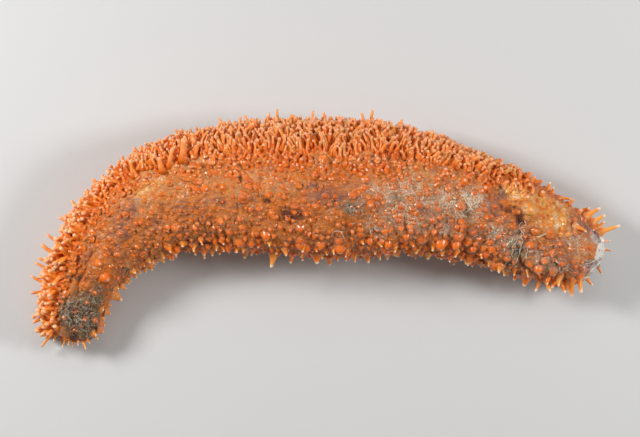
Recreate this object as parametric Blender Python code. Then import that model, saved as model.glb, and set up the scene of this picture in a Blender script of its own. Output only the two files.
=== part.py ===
"""A life-size sea cucumber that lies on one flank, bent into an arch on the floor.

The body is one lofted tube along a bent centreline, parted into lengths by thin cuts. The sole,
on the outside of the bend, carries crowded tube feet. The back, on the inside of the bend, and
the two flanks carry cone-shaped papillae and low warts. Metres, +Z up, the floor at z = 0,
+X towards the vent, +Y towards the sole.
"""

import math
import random
from collections import namedtuple

import bmesh
import bpy
import numpy as np
from mathutils import Matrix, Vector

MM = 0.001

# Centreline stations, in millimetres: x, y and half of the body's width there, mouth to vent
STATIONS = (
    (-78.0, -33.3, 6.0),
    (-76.2, -26.4, 7.8),
    (-73.8, -17.7, 8.8),
    (-69.0, -8.6, 10.4),
    (-61.5, 0.0, 12.8),
    (-48.3, 8.2, 15.1),
    (-30.0, 11.7, 16.9),
    (-9.6, 11.3, 18.1),
    (9.6, 11.3, 18.0),
    (27.0, 10.2, 16.7),
    (42.6, 6.9, 14.8),
    (57.6, 1.1, 13.4),
    (70.2, -3.9, 11.4),
    (82.8, -7.8, 9.0),
)
# Where the middle of the finished part's box falls in the drawing above
BOX_MIDDLE = (-0.3, -0.14)

# The body's section
HEIGHT_SHARE = 0.92  # height of the section over its width
SAG_SHARE = 0.09  # share of the half height that the floor flattens
SEGMENTS = 22  # facets round the body
RING_PITCH = 4.4 * MM  # distance between rings along the body
CUT_GAP = 0.3 * MM  # gap that parts two lengths of the body

# Shallow rings and lumps of a soft body: share of the radius and length along the body, how far
# a ring tilts, and the turns of the lumps along and round the body
RING_SHARE, RING_LENGTH, RING_TILT = 0.012, 2.3 * MM, 1.6
LUMP_SHARE, LUMP_LENGTH, LUMP_TWIST, LUMP_TURNS = 0.018, 6.1 * MM, 2, 3

# The two ends: length that rounds off, radius of the opening's rim and depth of its dimple
End = namedtuple("End", "rounding rim depth")
MOUTH = End(2.7 * MM, 2.6 * MM, 2.2 * MM)
VENT = End(7.8 * MM, 1.5 * MM, 1.3 * MM)
END_RINGS = (0.7, 0.35, 0.12)  # shares of the rounding that get a ring of their own
# From the rim into the dimple: radius over the rim's, share of the depth and of the pleats
DIMPLE = ((1.25, 0.0, 0.0), (0.85, 0.12, 0.5), (0.5, 0.6, 1.0), (0.22, 1.0, 1.0))
PLEAT_SHARE = 0.16  # height of the dimple's pleats over its radius

# The lengths of the body, each with the share of the centreline where it ends
LENGTHS = (
    ("mouth_disc", 0.034),
    ("mouth_end", 0.165),
    ("body_front", 0.315),
    ("body_mid_front", 0.475),
    ("body_mid_rear", 0.635),
    ("body_rear", 0.79),
    ("vent_end", 0.93),
    ("vent_cap", 1.0),
)

# What grows on the skin: number of sides, radius at the base, share of the length where the base
# narrows to a neck, radius there and radius at the tip
Shape = namedtuple("Shape", "sides base neck_at neck tip")
FOOT = Shape(4, 0.62 * MM, 1.0, 0.46 * MM, 0.46 * MM)
PAPILLA = Shape(6, 1.5 * MM, 0.42, 0.72 * MM, 0.42 * MM)
WART = Shape(4, 0.95 * MM, 1.0, 0.45 * MM, 0.45 * MM)
END_PAPILLA = Shape(5, 0.7 * MM, 1.0, 0.4 * MM, 0.4 * MM)
TIP_DOME = 0.55  # height of a rounded tip over its radius

# Spread of each kind: distance apart, shortest and longest, and tangent of the largest lean
Spread = namedtuple("Spread", "pitch shortest longest lean")
FEET = Spread(3.95 * MM, 3.6 * MM, 5.2 * MM, 0.34)
PAPILLAE = Spread(10.5 * MM, 1.8 * MM, 3.6 * MM, 0.2)
WARTS = Spread(7.6 * MM, 0.8 * MM, 1.3 * MM, 0.1)
JITTER = 0.28  # share of the distance apart that a piece strays from its place
ROW_SHARE = 0.9  # distance between rows over the distance along a row
STAGGER = 0.25  # share of the distance apart that rows shift, to either side in turn

# Where they grow: degrees round the body on either side of the sole's middle line
SOLE_EDGE = math.radians(66)
WART_EDGE = math.radians(75)
PAPILLA_EDGE = math.radians(102)
FEET_REACH = (0.018, 0.93)  # shares of the centreline where the feet start and stop
FEET_FADE = (0.62, 0.58)  # share from where the feet grow shorter, and their length at the end
FEET_FLOP = 0.6  # share of its angle round the body that a foot leans back to the sole's middle

# The largest feet and papillae: share of the centreline, degrees round the body, length in
# millimetres and degrees that each leans towards the vent
TALL_FEET = (
    (0.10, 2, 7.0, 0),
    (0.463, -4, 6.2, 32),
    (0.521, 0, 6.4, -34),
    (0.604, 4, 6.0, -12),
    (0.613, -3, 6.2, -15),
)
TALL_PAPILLAE = (
    (0.087, 180, 3.6, 20),
    (0.21, 180, 3.0, 0),
    (0.455, 176, 5.2, -3),
    (0.527, 172, 3.2, 0),
    (0.604, 176, 3.7, 0),
    (0.88, 178, 4.4, 12),
    (0.90, 176, 2.6, -22),
    (0.916, 182, 3.5, 8),
    (0.943, 174, 3.4, 10),
    (0.957, 182, 5.0, 0),
    (0.968, 176, 3.6, 15),
    (0.983, 180, 3.4, 35),
    (0.942, 14, 3.0, 52),
    (0.955, 6, 4.8, 40),
    (0.968, -6, 4.8, 46),
    (0.978, 18, 3.0, 30),
    (0.983, -4, 6.6, 48),
)
# Rings of short papillae round the mouth and the vent: number, length and lean outwards
EndRing = namedtuple("EndRing", "number length lean")
MOUTH_RING = EndRing(9, 1.7 * MM, math.radians(22))
VENT_RING = EndRing(5, 1.5 * MM, math.radians(30))

ROOT_SINK = 1.3 * MM  # depth that a root goes into the body
FLOOR_CLEAR = 0.35 * MM  # height that every tip keeps over the floor
CUT_CLEAR = 0.25 * MM  # distance that every piece keeps from the plane of a cut
AIM_PASSES = 3  # times that a piece is turned from the floor and the cuts in turn
STEEPEST = 0.95  # largest part of a direction that such a turn gives to one axis

SEED = 7


def natural_spline(knots, values, at):
    """Natural cubic spline through values at knots, read at the places in at."""
    count = len(knots)
    step = np.diff(knots)
    system = np.zeros((count, count))
    right = np.zeros((count, values.shape[1]))
    system[0, 0] = system[-1, -1] = 1.0
    for i in range(1, count - 1):
        system[i, i - 1 : i + 2] = step[i - 1], 2 * (step[i - 1] + step[i]), step[i]
        slopes = np.diff(values[i - 1 : i + 2], axis=0) / step[i - 1 : i + 1, None]
        right[i] = 6 * (slopes[1] - slopes[0])
    bend = np.linalg.solve(system, right)
    i = np.clip(np.searchsorted(knots, at) - 1, 0, count - 2)
    h = step[i][:, None]
    before = (knots[i + 1] - at)[:, None]
    after = (at - knots[i])[:, None]
    return (
        (bend[i] * before**3 + bend[i + 1] * after**3) / (6 * h)
        + (values[i] / h - bend[i] * h / 6) * before
        + (values[i + 1] / h - bend[i + 1] * h / 6) * after
    )


class Body:
    """The bent tube. s is the distance along the centreline from the mouth, in metres, and phi
    the angle round it: 0 in the middle of the sole, 90 degrees up, 180 in the middle of the back."""

    SAMPLES = 1500

    def __init__(self):
        drawn = np.array(STATIONS) * MM
        drawn[:, :2] -= np.array(BOX_MIDDLE) * MM
        chords = np.linalg.norm(np.diff(drawn[:, :2], axis=0), axis=1)
        knots = np.concatenate([[0.0], np.cumsum(chords)])
        fine = natural_spline(knots, drawn, np.linspace(0, knots[-1], self.SAMPLES))
        runs = np.linalg.norm(np.diff(fine[:, :2], axis=0), axis=1)
        self.s = np.concatenate([[0.0], np.cumsum(runs)])
        self.length = float(self.s[-1])
        self.line = fine[:, :2]
        self.half_width = fine[:, 2]
        tangent = np.gradient(fine[:, :2], self.s, axis=0)
        self.tangent = tangent / np.linalg.norm(tangent, axis=1)[:, None]

    def at(self, s):
        """Centre, tangent, direction of the sole, half width and half height at s."""
        held = min(max(s, 0.0), self.length)
        x, y = (float(np.interp(held, self.s, self.line[:, k])) for k in (0, 1))
        along = [float(np.interp(held, self.s, self.tangent[:, k])) for k in (0, 1)]
        tangent = Vector((*along, 0)).normalized()
        sole = Vector((-tangent.y, tangent.x, 0))
        width = float(np.interp(held, self.s, self.half_width))
        width *= self.rounding(held, MOUTH.rounding)
        width *= self.rounding(self.length - held, VENT.rounding)
        return Vector((x, y, 0)), tangent, sole, width, width * HEIGHT_SHARE

    @staticmethod
    def rounding(distance, over):
        """Share of the width left at a distance from an end that rounds off as an ellipse."""
        t = min(max(distance / over, 0.0), 1.0)
        return math.sqrt(1 - (1 - t) ** 2)

    def rest_height(self, s):
        """Height of the centreline over the floor, from the width before the ends round off."""
        width = float(np.interp(s, self.s, self.half_width))
        return width * HEIGHT_SHARE * (1 - SAG_SHARE)

    @staticmethod
    def folds(s, phi):
        """Shallow rings and lumps of a soft body, as a factor on its radius."""
        rings = math.sin(s / RING_LENGTH + RING_TILT * math.sin(phi))
        lumps = math.sin(s / LUMP_LENGTH + LUMP_TWIST * phi) * math.cos(LUMP_TURNS * phi)
        return 1 + RING_SHARE * rings + LUMP_SHARE * lumps

    def point(self, s, phi):
        """A point of the skin."""
        centre, _, sole, width, height = self.at(s)
        size = self.folds(s, phi)
        out = sole * (width * size * math.cos(phi))
        z = self.rest_height(s) + height * size * math.sin(phi)
        return centre + out + Vector((0, 0, max(z, 0.0)))

    def normal(self, s, phi):
        """The skin's outward direction, before the floor flattens it."""
        _, tangent, sole, width, height = self.at(s)
        across = sole * (math.cos(phi) / width) + Vector((0, 0, math.sin(phi) / height))
        across.normalize()
        step = 0.5 * MM
        ahead, behind = self.at(min(s + step, self.length)), self.at(max(s - step, 0))
        slope = (ahead[3] - behind[3]) / (2 * step)
        return (across - tangent * slope).normalized()

    def arc(self, s, from_phi, to_phi):
        """Length round the section between two angles, as if it were a circle."""
        _, _, _, width, height = self.at(s)
        return 0.5 * (width + height) * abs(to_phi - from_phi)


def make_material(name, colour, roughness):
    """A plain finish of the flesh."""
    material = bpy.data.materials.new(name)
    material.use_nodes = True
    shader = material.node_tree.nodes["Principled BSDF"]
    shader.inputs["Base Color"].default_value = (*colour, 1.0)
    shader.inputs["Roughness"].default_value = roughness
    shader.inputs["Metallic"].default_value = 0.0
    material.diffuse_color = (*colour, 1.0)
    return material


def loft(name, rings, collection):
    """A closed tube through rings of points, each ring with the same number of points."""
    bm = bmesh.new()
    loops = [[bm.verts.new(p) for p in ring] for ring in rings]
    count = len(loops[0])
    for first, second in zip(loops, loops[1:]):
        for i in range(count):
            j = (i + 1) % count
            bm.faces.new((first[i], first[j], second[j], second[i]))
    bm.faces.new(list(reversed(loops[0])))
    bm.faces.new(loops[-1])
    bmesh.ops.recalc_face_normals(bm, faces=bm.faces)
    mesh = bpy.data.meshes.new(name)
    bm.to_mesh(mesh)
    bm.free()
    obj = bpy.data.objects.new(name, mesh)
    collection.objects.link(obj)
    return obj


def angles_round():
    """The angles of the points of every ring."""
    turn = 2 * math.pi / SEGMENTS
    return [(i + 0.5) * turn for i in range(SEGMENTS)]


def length_rings(body, start, end):
    """Evenly spaced rings of one length of the body."""
    count = max(2, round((end - start) / RING_PITCH) + 1)
    return [[body.point(s, phi) for phi in angles_round()] for s in np.linspace(start, end, count)]


def end_rings(body, end, edge, inwards):
    """Rings over a rounded end and down into its pleated dimple, from the body outwards."""
    places = [edge + inwards * end.rounding * share for share in END_RINGS]
    rings = [[body.point(s, phi) for phi in angles_round()] for s in places]
    centre, tangent, sole, _, _ = body.at(edge)
    centre.z = body.rest_height(edge)
    for radius, sunk, pleated in DIMPLE:
        ring = []
        for i, phi in enumerate(angles_round()):
            pleat = 1 + PLEAT_SHARE * pleated * (-1) ** i
            out = sole * math.cos(phi) + Vector((0, 0, math.sin(phi)))
            down = tangent * (inwards * end.depth * sunk)
            ring.append(centre + out * (end.rim * radius * pleat) + down)
        rings.append(ring)
    return rings


def cone_along(bm, direction, foot, depth, shape, spin):
    """A closed cone frustum from foot along a direction, and its far face."""
    turn = direction.to_track_quat("Z", "Y").to_matrix().to_4x4()
    place = Matrix.Translation(foot) @ turn @ Matrix.Rotation(spin, 4, "Z")
    bmesh.ops.create_cone(
        bm,
        cap_ends=True,
        segments=shape.sides,
        radius1=shape.base,
        radius2=shape.neck,
        depth=depth,
        matrix=place @ Matrix.Translation((0, 0, depth / 2)),
    )
    return max(bm.faces, key=lambda face: (face.calc_center_median() - foot).dot(direction))


def outgrowth(shape, root, rise, direction, length, sink, spin):
    """One tapered closed piece with a rounded tip, its base sunk under its root. It starts along
    rise, and a piece with a neck turns there to its own direction."""
    bm = bmesh.new()
    top = cone_along(bm, rise, root - rise * sink, length * shape.neck_at + sink, shape, spin)
    if shape.neck_at < 1:
        knee = root + rise * (length * shape.neck_at)
        tip = knee + direction * (length * (1 - shape.neck_at))
        grown = bmesh.ops.extrude_face_region(bm, geom=[top])["geom"]
        bmesh.ops.delete(bm, geom=[top], context="FACES_ONLY")
        top = next(item for item in grown if isinstance(item, bmesh.types.BMFace))
        bend = rise.rotation_difference(direction)
        for vert in top.verts:
            vert.co = tip + bend @ (vert.co - knee) * (shape.tip / shape.neck)
    bm.normal_update()
    bmesh.ops.poke(bm, faces=[top], offset=TIP_DOME * shape.tip)
    mesh = bpy.data.meshes.new("piece")
    bm.to_mesh(mesh)
    bm.free()
    return bpy.data.objects.new("piece", mesh)


def turn_from(direction, axis, least):
    """Turns a unit direction just so far that its component along an axis is at least a value."""
    along = direction.dot(axis)
    if along >= least:
        return direction
    least = min(least, STEEPEST)
    across = (direction - axis * along).normalized()
    return across * math.sqrt(1 - least**2) + axis * least


class Growth:
    """Grows the feet, papillae and warts of one length of the body, each a closed piece."""

    def __init__(self, body, start, end, collection, rng):
        self.body, self.start, self.end = body, start, end
        self.collection, self.rng = collection, rng
        self.cuts = []
        for s, inwards in ((start, 1), (end, -1)):
            if 0 < s < body.length:
                centre, tangent, _, _, _ = body.at(s)
                self.cuts.append((centre, tangent * inwards))

    def aim(self, root, direction, length, radius):
        """Turns a direction so that the tip clears the floor and the cuts beside it."""
        up = Vector((0, 0, 1))
        for _ in range(AIM_PASSES):
            direction = turn_from(direction, up, (FLOOR_CLEAR + radius - root.z) / length)
            for centre, inwards in self.cuts:
                least = CUT_CLEAR + radius - (root - centre).dot(inwards)
                direction = turn_from(direction, inwards, least / length)
        return direction

    def grow(self, shape, s, phi, length, forward, sideways):
        """One piece on the skin. forward and sideways are the tangents of its lean towards the
        vent and round the body. A piece whose base would reach a cut or the floor is left out."""
        root = self.body.point(s, phi)
        _, tangent, sole, _, _ = self.body.at(s)
        around = Vector((0, 0, math.cos(phi))) - sole * math.sin(phi)
        normal = self.body.normal(s, phi)
        direction = (normal + tangent * forward + around * sideways).normalized()
        if shape.neck_at < 1:
            rise = self.aim(root, normal, length * shape.neck_at, shape.neck)
            knee = root + rise * (length * shape.neck_at)
            direction = self.aim(knee, direction, length * (1 - shape.neck_at), shape.tip)
        else:
            rise = direction = self.aim(root, direction, length, shape.tip)
        sink = ROOT_SINK + shape.base * math.tan(rise.angle(normal))
        foot = root - rise * sink
        if min(root.z, foot.z) < shape.base * math.hypot(rise.x, rise.y):
            return
        reach = CUT_CLEAR + shape.base
        if any((place - c).dot(n) < reach for place in (root, foot) for c, n in self.cuts):
            return
        spin = self.rng.uniform(0, math.pi)
        piece = outgrowth(shape, root, rise, direction, length, sink, spin)
        self.collection.objects.link(piece)

    def fade(self, kind, s):
        """The length of a kind at s over its full length. Feet grow shorter towards the vent."""
        if kind is not FEET:
            return 1.0
        begin, least = FEET_FADE
        past = (s / self.body.length - begin) / (FEET_REACH[1] - begin)
        return 1 - (1 - least) * min(max(past, 0.0), 1.0)

    def spread(self, shape, kind, from_phi, to_phi, reach=(0.0, 1.0)):
        """Pieces in staggered rows, evenly spaced and moved a little at random. reach holds the
        shares of the centreline that the kind keeps to."""
        start = max(self.start, reach[0] * self.body.length)
        end = min(self.end, reach[1] * self.body.length)
        rows = max(0, round((end - start) / (kind.pitch * ROW_SHARE)))
        for row in range(rows):
            middle = start + (row + 0.5) * (end - start) / rows
            count = max(1, round(self.body.arc(middle, from_phi, to_phi) / kind.pitch))
            step = (to_phi - from_phi) / count
            shift = STAGGER if row % 2 else -STAGGER
            for i in range(count):
                stray = self.rng.uniform(-JITTER, JITTER)
                phi = from_phi + (i + 0.5 + shift + stray) * step
                s = middle + self.rng.uniform(-JITTER, JITTER) * kind.pitch
                length = self.rng.uniform(kind.shortest, kind.longest) * self.fade(kind, s)
                forward = self.rng.uniform(-kind.lean, kind.lean)
                sideways = self.rng.uniform(-kind.lean, kind.lean)
                if kind is FEET:
                    sideways -= math.tan(FEET_FLOP * phi)
                self.grow(shape, s, phi, length, forward, sideways)

    def both_flanks(self, shape, kind, edge):
        """Pieces from an edge to the middle of the back, over either flank."""
        self.spread(shape, kind, edge, math.pi)
        self.spread(shape, kind, -math.pi, -edge)

    def tall(self, shape, table):
        """The largest pieces that fall on this length."""
        for share, degrees, length, lean in table:
            s = share * self.body.length
            if self.start < s < self.end:
                forward = math.tan(math.radians(lean))
                self.grow(shape, s, math.radians(degrees), length * MM, forward, 0.0)

    def end_ring(self, ring, end, edge, inwards):
        """Short papillae round an opening, pointing away from the body."""
        centre, tangent, sole, _, _ = self.body.at(edge)
        centre.z = self.body.rest_height(edge)
        for i in range(ring.number):
            phi = 2 * math.pi * (i + self.rng.uniform(-JITTER, JITTER)) / ring.number
            out = sole * math.cos(phi) + Vector((0, 0, math.sin(phi)))
            direction = out * math.sin(ring.lean) - tangent * (inwards * math.cos(ring.lean))
            root = centre + out * (end.rim * DIMPLE[0][0] + END_PAPILLA.base)
            piece = outgrowth(END_PAPILLA, root, direction, direction, ring.length, ROOT_SINK, phi)
            self.collection.objects.link(piece)


def keep_largest(mesh):
    """Drops every closed surface of a mesh but the largest."""
    bm = bmesh.new()
    bm.from_mesh(mesh)
    left, groups = set(bm.verts), []
    while left:
        group, edge = set(), [left.pop()]
        while edge:
            vert = edge.pop()
            group.add(vert)
            fresh = [e.other_vert(vert) for e in vert.link_edges]
            edge += [v for v in fresh if v in left]
            left.difference_update(fresh)
        groups.append(group)
    largest = max(groups, key=len)
    spare = [v for group in groups if group is not largest for v in group]
    bmesh.ops.delete(bm, geom=spare, context="VERTS")
    bmesh.ops.triangulate(bm, faces=bm.faces)
    bm.to_mesh(mesh)
    bm.free()


def fuse(obj, pieces):
    """Joins the pieces of a collection to an object by one Boolean union, and removes them."""
    join = obj.modifiers.new("outgrowths", "BOOLEAN")
    join.operation = "UNION"
    join.operand_type = "COLLECTION"
    join.collection = pieces
    join.solver = "MANIFOLD"
    graph = bpy.context.evaluated_depsgraph_get()
    mesh = bpy.data.meshes.new_from_object(obj.evaluated_get(graph))
    obj.modifiers.clear()
    obj.data = mesh
    for piece in list(pieces.objects):
        bpy.data.objects.remove(piece)
    bpy.data.collections.remove(pieces)
    keep_largest(obj.data)


def build_length(body, name, start, end, collection, material, rng):
    """One length of the body, with what grows on it."""
    if start == 0:
        rings = list(reversed(end_rings(body, MOUTH, 0.0, 1)))
        rings += length_rings(body, MOUTH.rounding, end)
    elif end == body.length:
        rings = length_rings(body, start, body.length - VENT.rounding * END_RINGS[0])[:-1]
        rings += end_rings(body, VENT, body.length, -1)
    else:
        rings = length_rings(body, start, end)
    obj = loft(name, rings, collection)
    pieces = bpy.data.collections.new(name + "_pieces")
    bpy.context.scene.collection.children.link(pieces)
    growth = Growth(body, start, end, pieces, rng)
    growth.spread(FOOT, FEET, -SOLE_EDGE, SOLE_EDGE, FEET_REACH)
    growth.both_flanks(PAPILLA, PAPILLAE, PAPILLA_EDGE)
    growth.both_flanks(WART, WARTS, WART_EDGE)
    growth.tall(FOOT, TALL_FEET)
    growth.tall(PAPILLA, TALL_PAPILLAE)
    if start == 0:
        growth.end_ring(MOUTH_RING, MOUTH, 0.0, 1)
    if end == body.length:
        growth.end_ring(VENT_RING, VENT, body.length, -1)
    fuse(obj, pieces)
    obj.data.materials.clear()
    obj.data.materials.append(material)


def main():
    for obj in list(bpy.data.objects):
        bpy.data.objects.remove(obj)
    collection = bpy.data.collections.new("sea_cucumber")
    bpy.context.scene.collection.children.link(collection)
    flesh = make_material("orange_flesh", (0.80, 0.27, 0.07), 0.42)
    ends = {
        "mouth_disc": make_material("dusky_mouth_skin", (0.45, 0.24, 0.14), 0.45),
        "vent_cap": make_material("pale_end_skin", (0.62, 0.50, 0.42), 0.38),
    }
    body = Body()
    start = 0.0
    for index, (name, share) in enumerate(LENGTHS):
        end = body.length * share
        last = end - CUT_GAP / 2 if share < 1 else body.length
        rng = random.Random(SEED + index)
        build_length(body, name, start, last, collection, ends.get(name, flesh), rng)
        start = end + CUT_GAP / 2


main()
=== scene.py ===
"""Looks of a life-size sea cucumber that lies on one flank, bent into an arch on a pale floor.

One skin runs over the whole body. Tube feet crowd the sole, on the outside of the bend, warts and
cone-shaped papillae stand on the flanks and back, and fine pale threads cling to the skin.
Metres, +Z up, +X towards the vent, +Y towards the sole.
"""

import math
from collections import namedtuple

import bpy
import numpy as np
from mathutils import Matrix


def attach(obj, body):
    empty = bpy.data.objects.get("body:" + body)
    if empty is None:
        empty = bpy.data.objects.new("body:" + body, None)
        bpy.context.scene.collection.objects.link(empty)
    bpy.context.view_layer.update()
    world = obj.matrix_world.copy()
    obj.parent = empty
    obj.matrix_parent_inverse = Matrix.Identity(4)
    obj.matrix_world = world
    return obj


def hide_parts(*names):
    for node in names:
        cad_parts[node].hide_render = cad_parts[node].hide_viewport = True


bl_info = {
    "name": "Sea Cucumber",
    "version": (1, 0, 0),
    "blender": (4, 5, 0),
    "location": "3D View > Sidebar > Sea Cucumber",
    "description": "Builds the skin, tube feet, warts, papillae and threads of a sea cucumber",
    "category": "Object",
}

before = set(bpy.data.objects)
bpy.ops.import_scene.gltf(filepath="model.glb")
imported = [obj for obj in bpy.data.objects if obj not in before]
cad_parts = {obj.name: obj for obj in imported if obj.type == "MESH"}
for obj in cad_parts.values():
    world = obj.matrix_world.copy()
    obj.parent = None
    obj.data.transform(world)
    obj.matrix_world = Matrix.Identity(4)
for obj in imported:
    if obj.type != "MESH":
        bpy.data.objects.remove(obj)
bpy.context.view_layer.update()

MM = 0.001
TURN = 2 * math.pi

# The body, as in the part: stations in millimetres (x, y, half width), mouth to vent
STATIONS = (
    (-78.0, -33.3, 6.0), (-76.2, -26.4, 7.8), (-73.8, -17.7, 8.8), (-69.0, -8.6, 10.4),
    (-61.5, 0.0, 12.8), (-48.3, 8.2, 15.1), (-30.0, 11.7, 16.9), (-9.6, 11.3, 18.1),
    (9.6, 11.3, 18.0), (27.0, 10.2, 16.7), (42.6, 6.9, 14.8), (57.6, 1.1, 13.4), (70.2, -3.9, 11.4),
    (82.8, -7.8, 9.0),
)
BOX_MIDDLE = (-0.3, -0.14)
HEIGHT_SHARE = 0.92
SAG_SHARE = 0.09
RING_SHARE, RING_LENGTH, RING_TILT = 0.012, 2.3 * MM, 1.6
LUMP_SHARE, LUMP_LENGTH, LUMP_TWIST, LUMP_TURNS = 0.018, 6.1 * MM, 2, 3
End = namedtuple("End", "rounding rim depth")
MOUTH = End(2.7 * MM, 2.6 * MM, 2.2 * MM)
VENT = End(7.8 * MM, 1.5 * MM, 1.3 * MM)
LAST_RING = 0.12  # share of the rounding where a dimple takes over from the body
# Radius over the rim's, share of the depth and of the pleats, from the rim to the dimple's bottom
DIMPLE = ((1.25, 0.0, 0.0), (0.85, 0.12, 0.5), (0.5, 0.6, 1.0), (0.22, 1.0, 1.0), (0.02, 1.05, 0.0))
PLEATS, PLEAT_SHARE = 11, 0.16

# One pixel of the picture in metres, and the pixel where the drawing of the stations has its zero
PIXEL = 0.3 * MM
PICTURE_ZERO = (328.0, 230.0)
PICTURE_MIDDLE = (320.0, 218.5)
PICTURE_WIDTH = 640

# How finely the skin is divided: rings over the body, over each rounded end and dimple, and columns
BODY_RINGS, MOUTH_RINGS, VENT_RINGS, DIMPLE_RINGS, COLUMNS = 404, 12, 26, 15, 208
CROWDING = 0.3  # how much closer the columns stand on the upper flank
END_UNWRAP = 6 * MM  # length that each end takes on the unwrapped skin
EDGE_ROOM = 0.004  # where the dimples' last rings lie there
PATCH = 1.5 * MM  # half the size of one tuft's patch there, as a share of one metre

# Half angle of the band of feet: share of the centreline, and degrees
SOLE_EDGES = (
    (0.0, 46), (0.1, 42), (0.18, 36), (0.24, 37), (0.3, 44), (0.4, 48), (0.5, 51), (0.7, 50),
    (0.77, 46), (0.84, 37), (0.9, 26), (0.95, 16), (1.0, 12),
)
FLOOR_CLEAR = 0.15 * MM
WART_REACH = 1.7  # how far a wart's swelling of the skin reaches, over the wart's radius
SWELL_SHARE = 0.75  # how much of a wart's height the skin itself swells
NODES = tuple(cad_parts)


# Arithmetic on arrays


def smooth(low, high, x):
    """0 below low, 1 above high, and the curve 3t^2 - 2t^3 between them."""
    t = np.clip((x - low) / (high - low), 0.0, 1.0)
    return t * t * (3 - 2 * t)


def join(*parts):
    """Arrays one after the other."""
    return np.concatenate(parts)


def unit(vectors):
    """Vectors over their own lengths."""
    return vectors / np.maximum(np.linalg.norm(vectors, axis=-1, keepdims=True), 1e-12)


def natural_spline(knots, values, at):
    """Natural cubic spline: second slopes from the usual three-term system, then each span's
    cubic from its end values and end second slopes."""
    count = len(knots)
    step = np.diff(knots)
    system = np.zeros((count, count))
    right = np.zeros((count, values.shape[1]))
    system[0, 0] = system[-1, -1] = 1.0
    for i in range(1, count - 1):
        system[i, i - 1 : i + 2] = step[i - 1], 2 * (step[i - 1] + step[i]), step[i]
        slopes = np.diff(values[i - 1 : i + 2], axis=0) / step[i - 1 : i + 1, None]
        right[i] = 6 * (slopes[1] - slopes[0])
    bend = np.linalg.solve(system, right)
    i = np.clip(np.searchsorted(knots, at) - 1, 0, count - 2)
    h = step[i][:, None]
    before = (knots[i + 1] - at)[:, None]
    after = (at - knots[i])[:, None]
    return (
        (bend[i] * before**3 + bend[i + 1] * after**3) / (6 * h)
        + (values[i] / h - bend[i] * h / 6) * before
        + (values[i + 1] / h - bend[i + 1] * h / 6) * after
    )


class Waves:
    """Smooth noise, about -1 to 1: the sum of sines along directions drawn once from a seed.
    stretch lengthens the waves along each axis."""

    COUNT = 28

    def __init__(self, size, seed, stretch=(1.0, 1.0, 1.0)):
        rng = np.random.default_rng(seed)
        turns = unit(rng.normal(size=(self.COUNT, 3))) * rng.uniform(0.6, 1.5, (self.COUNT, 1))
        self.turns = (turns / (size * np.array(stretch)) * TURN).T
        self.phases = rng.uniform(0, TURN, self.COUNT)

    def __call__(self, points):
        total = np.sin(points @ self.turns + self.phases).sum(-1)
        return np.clip(total / math.sqrt(self.COUNT * 1.6), -1.2, 1.2)


def upper_turn(phi):
    """The same angle between the middle of the underside and one turn on."""
    return (phi + math.pi / 2) % TURN - math.pi / 2


def from_sole(phi):
    """How far an angle is from the middle of the sole, either way."""
    return np.abs((phi + math.pi) % TURN - math.pi)


def from_picture(pixels):
    """Plan position in metres of a pixel of the picture: its distance from the drawing's zero,
    times the size of a pixel, from the middle of the box."""
    pixels = np.asarray(pixels, float)
    drawn = (pixels - PICTURE_ZERO) * (PIXEL, -PIXEL)
    return drawn - np.array(BOX_MIDDLE) * MM


# The body


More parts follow.
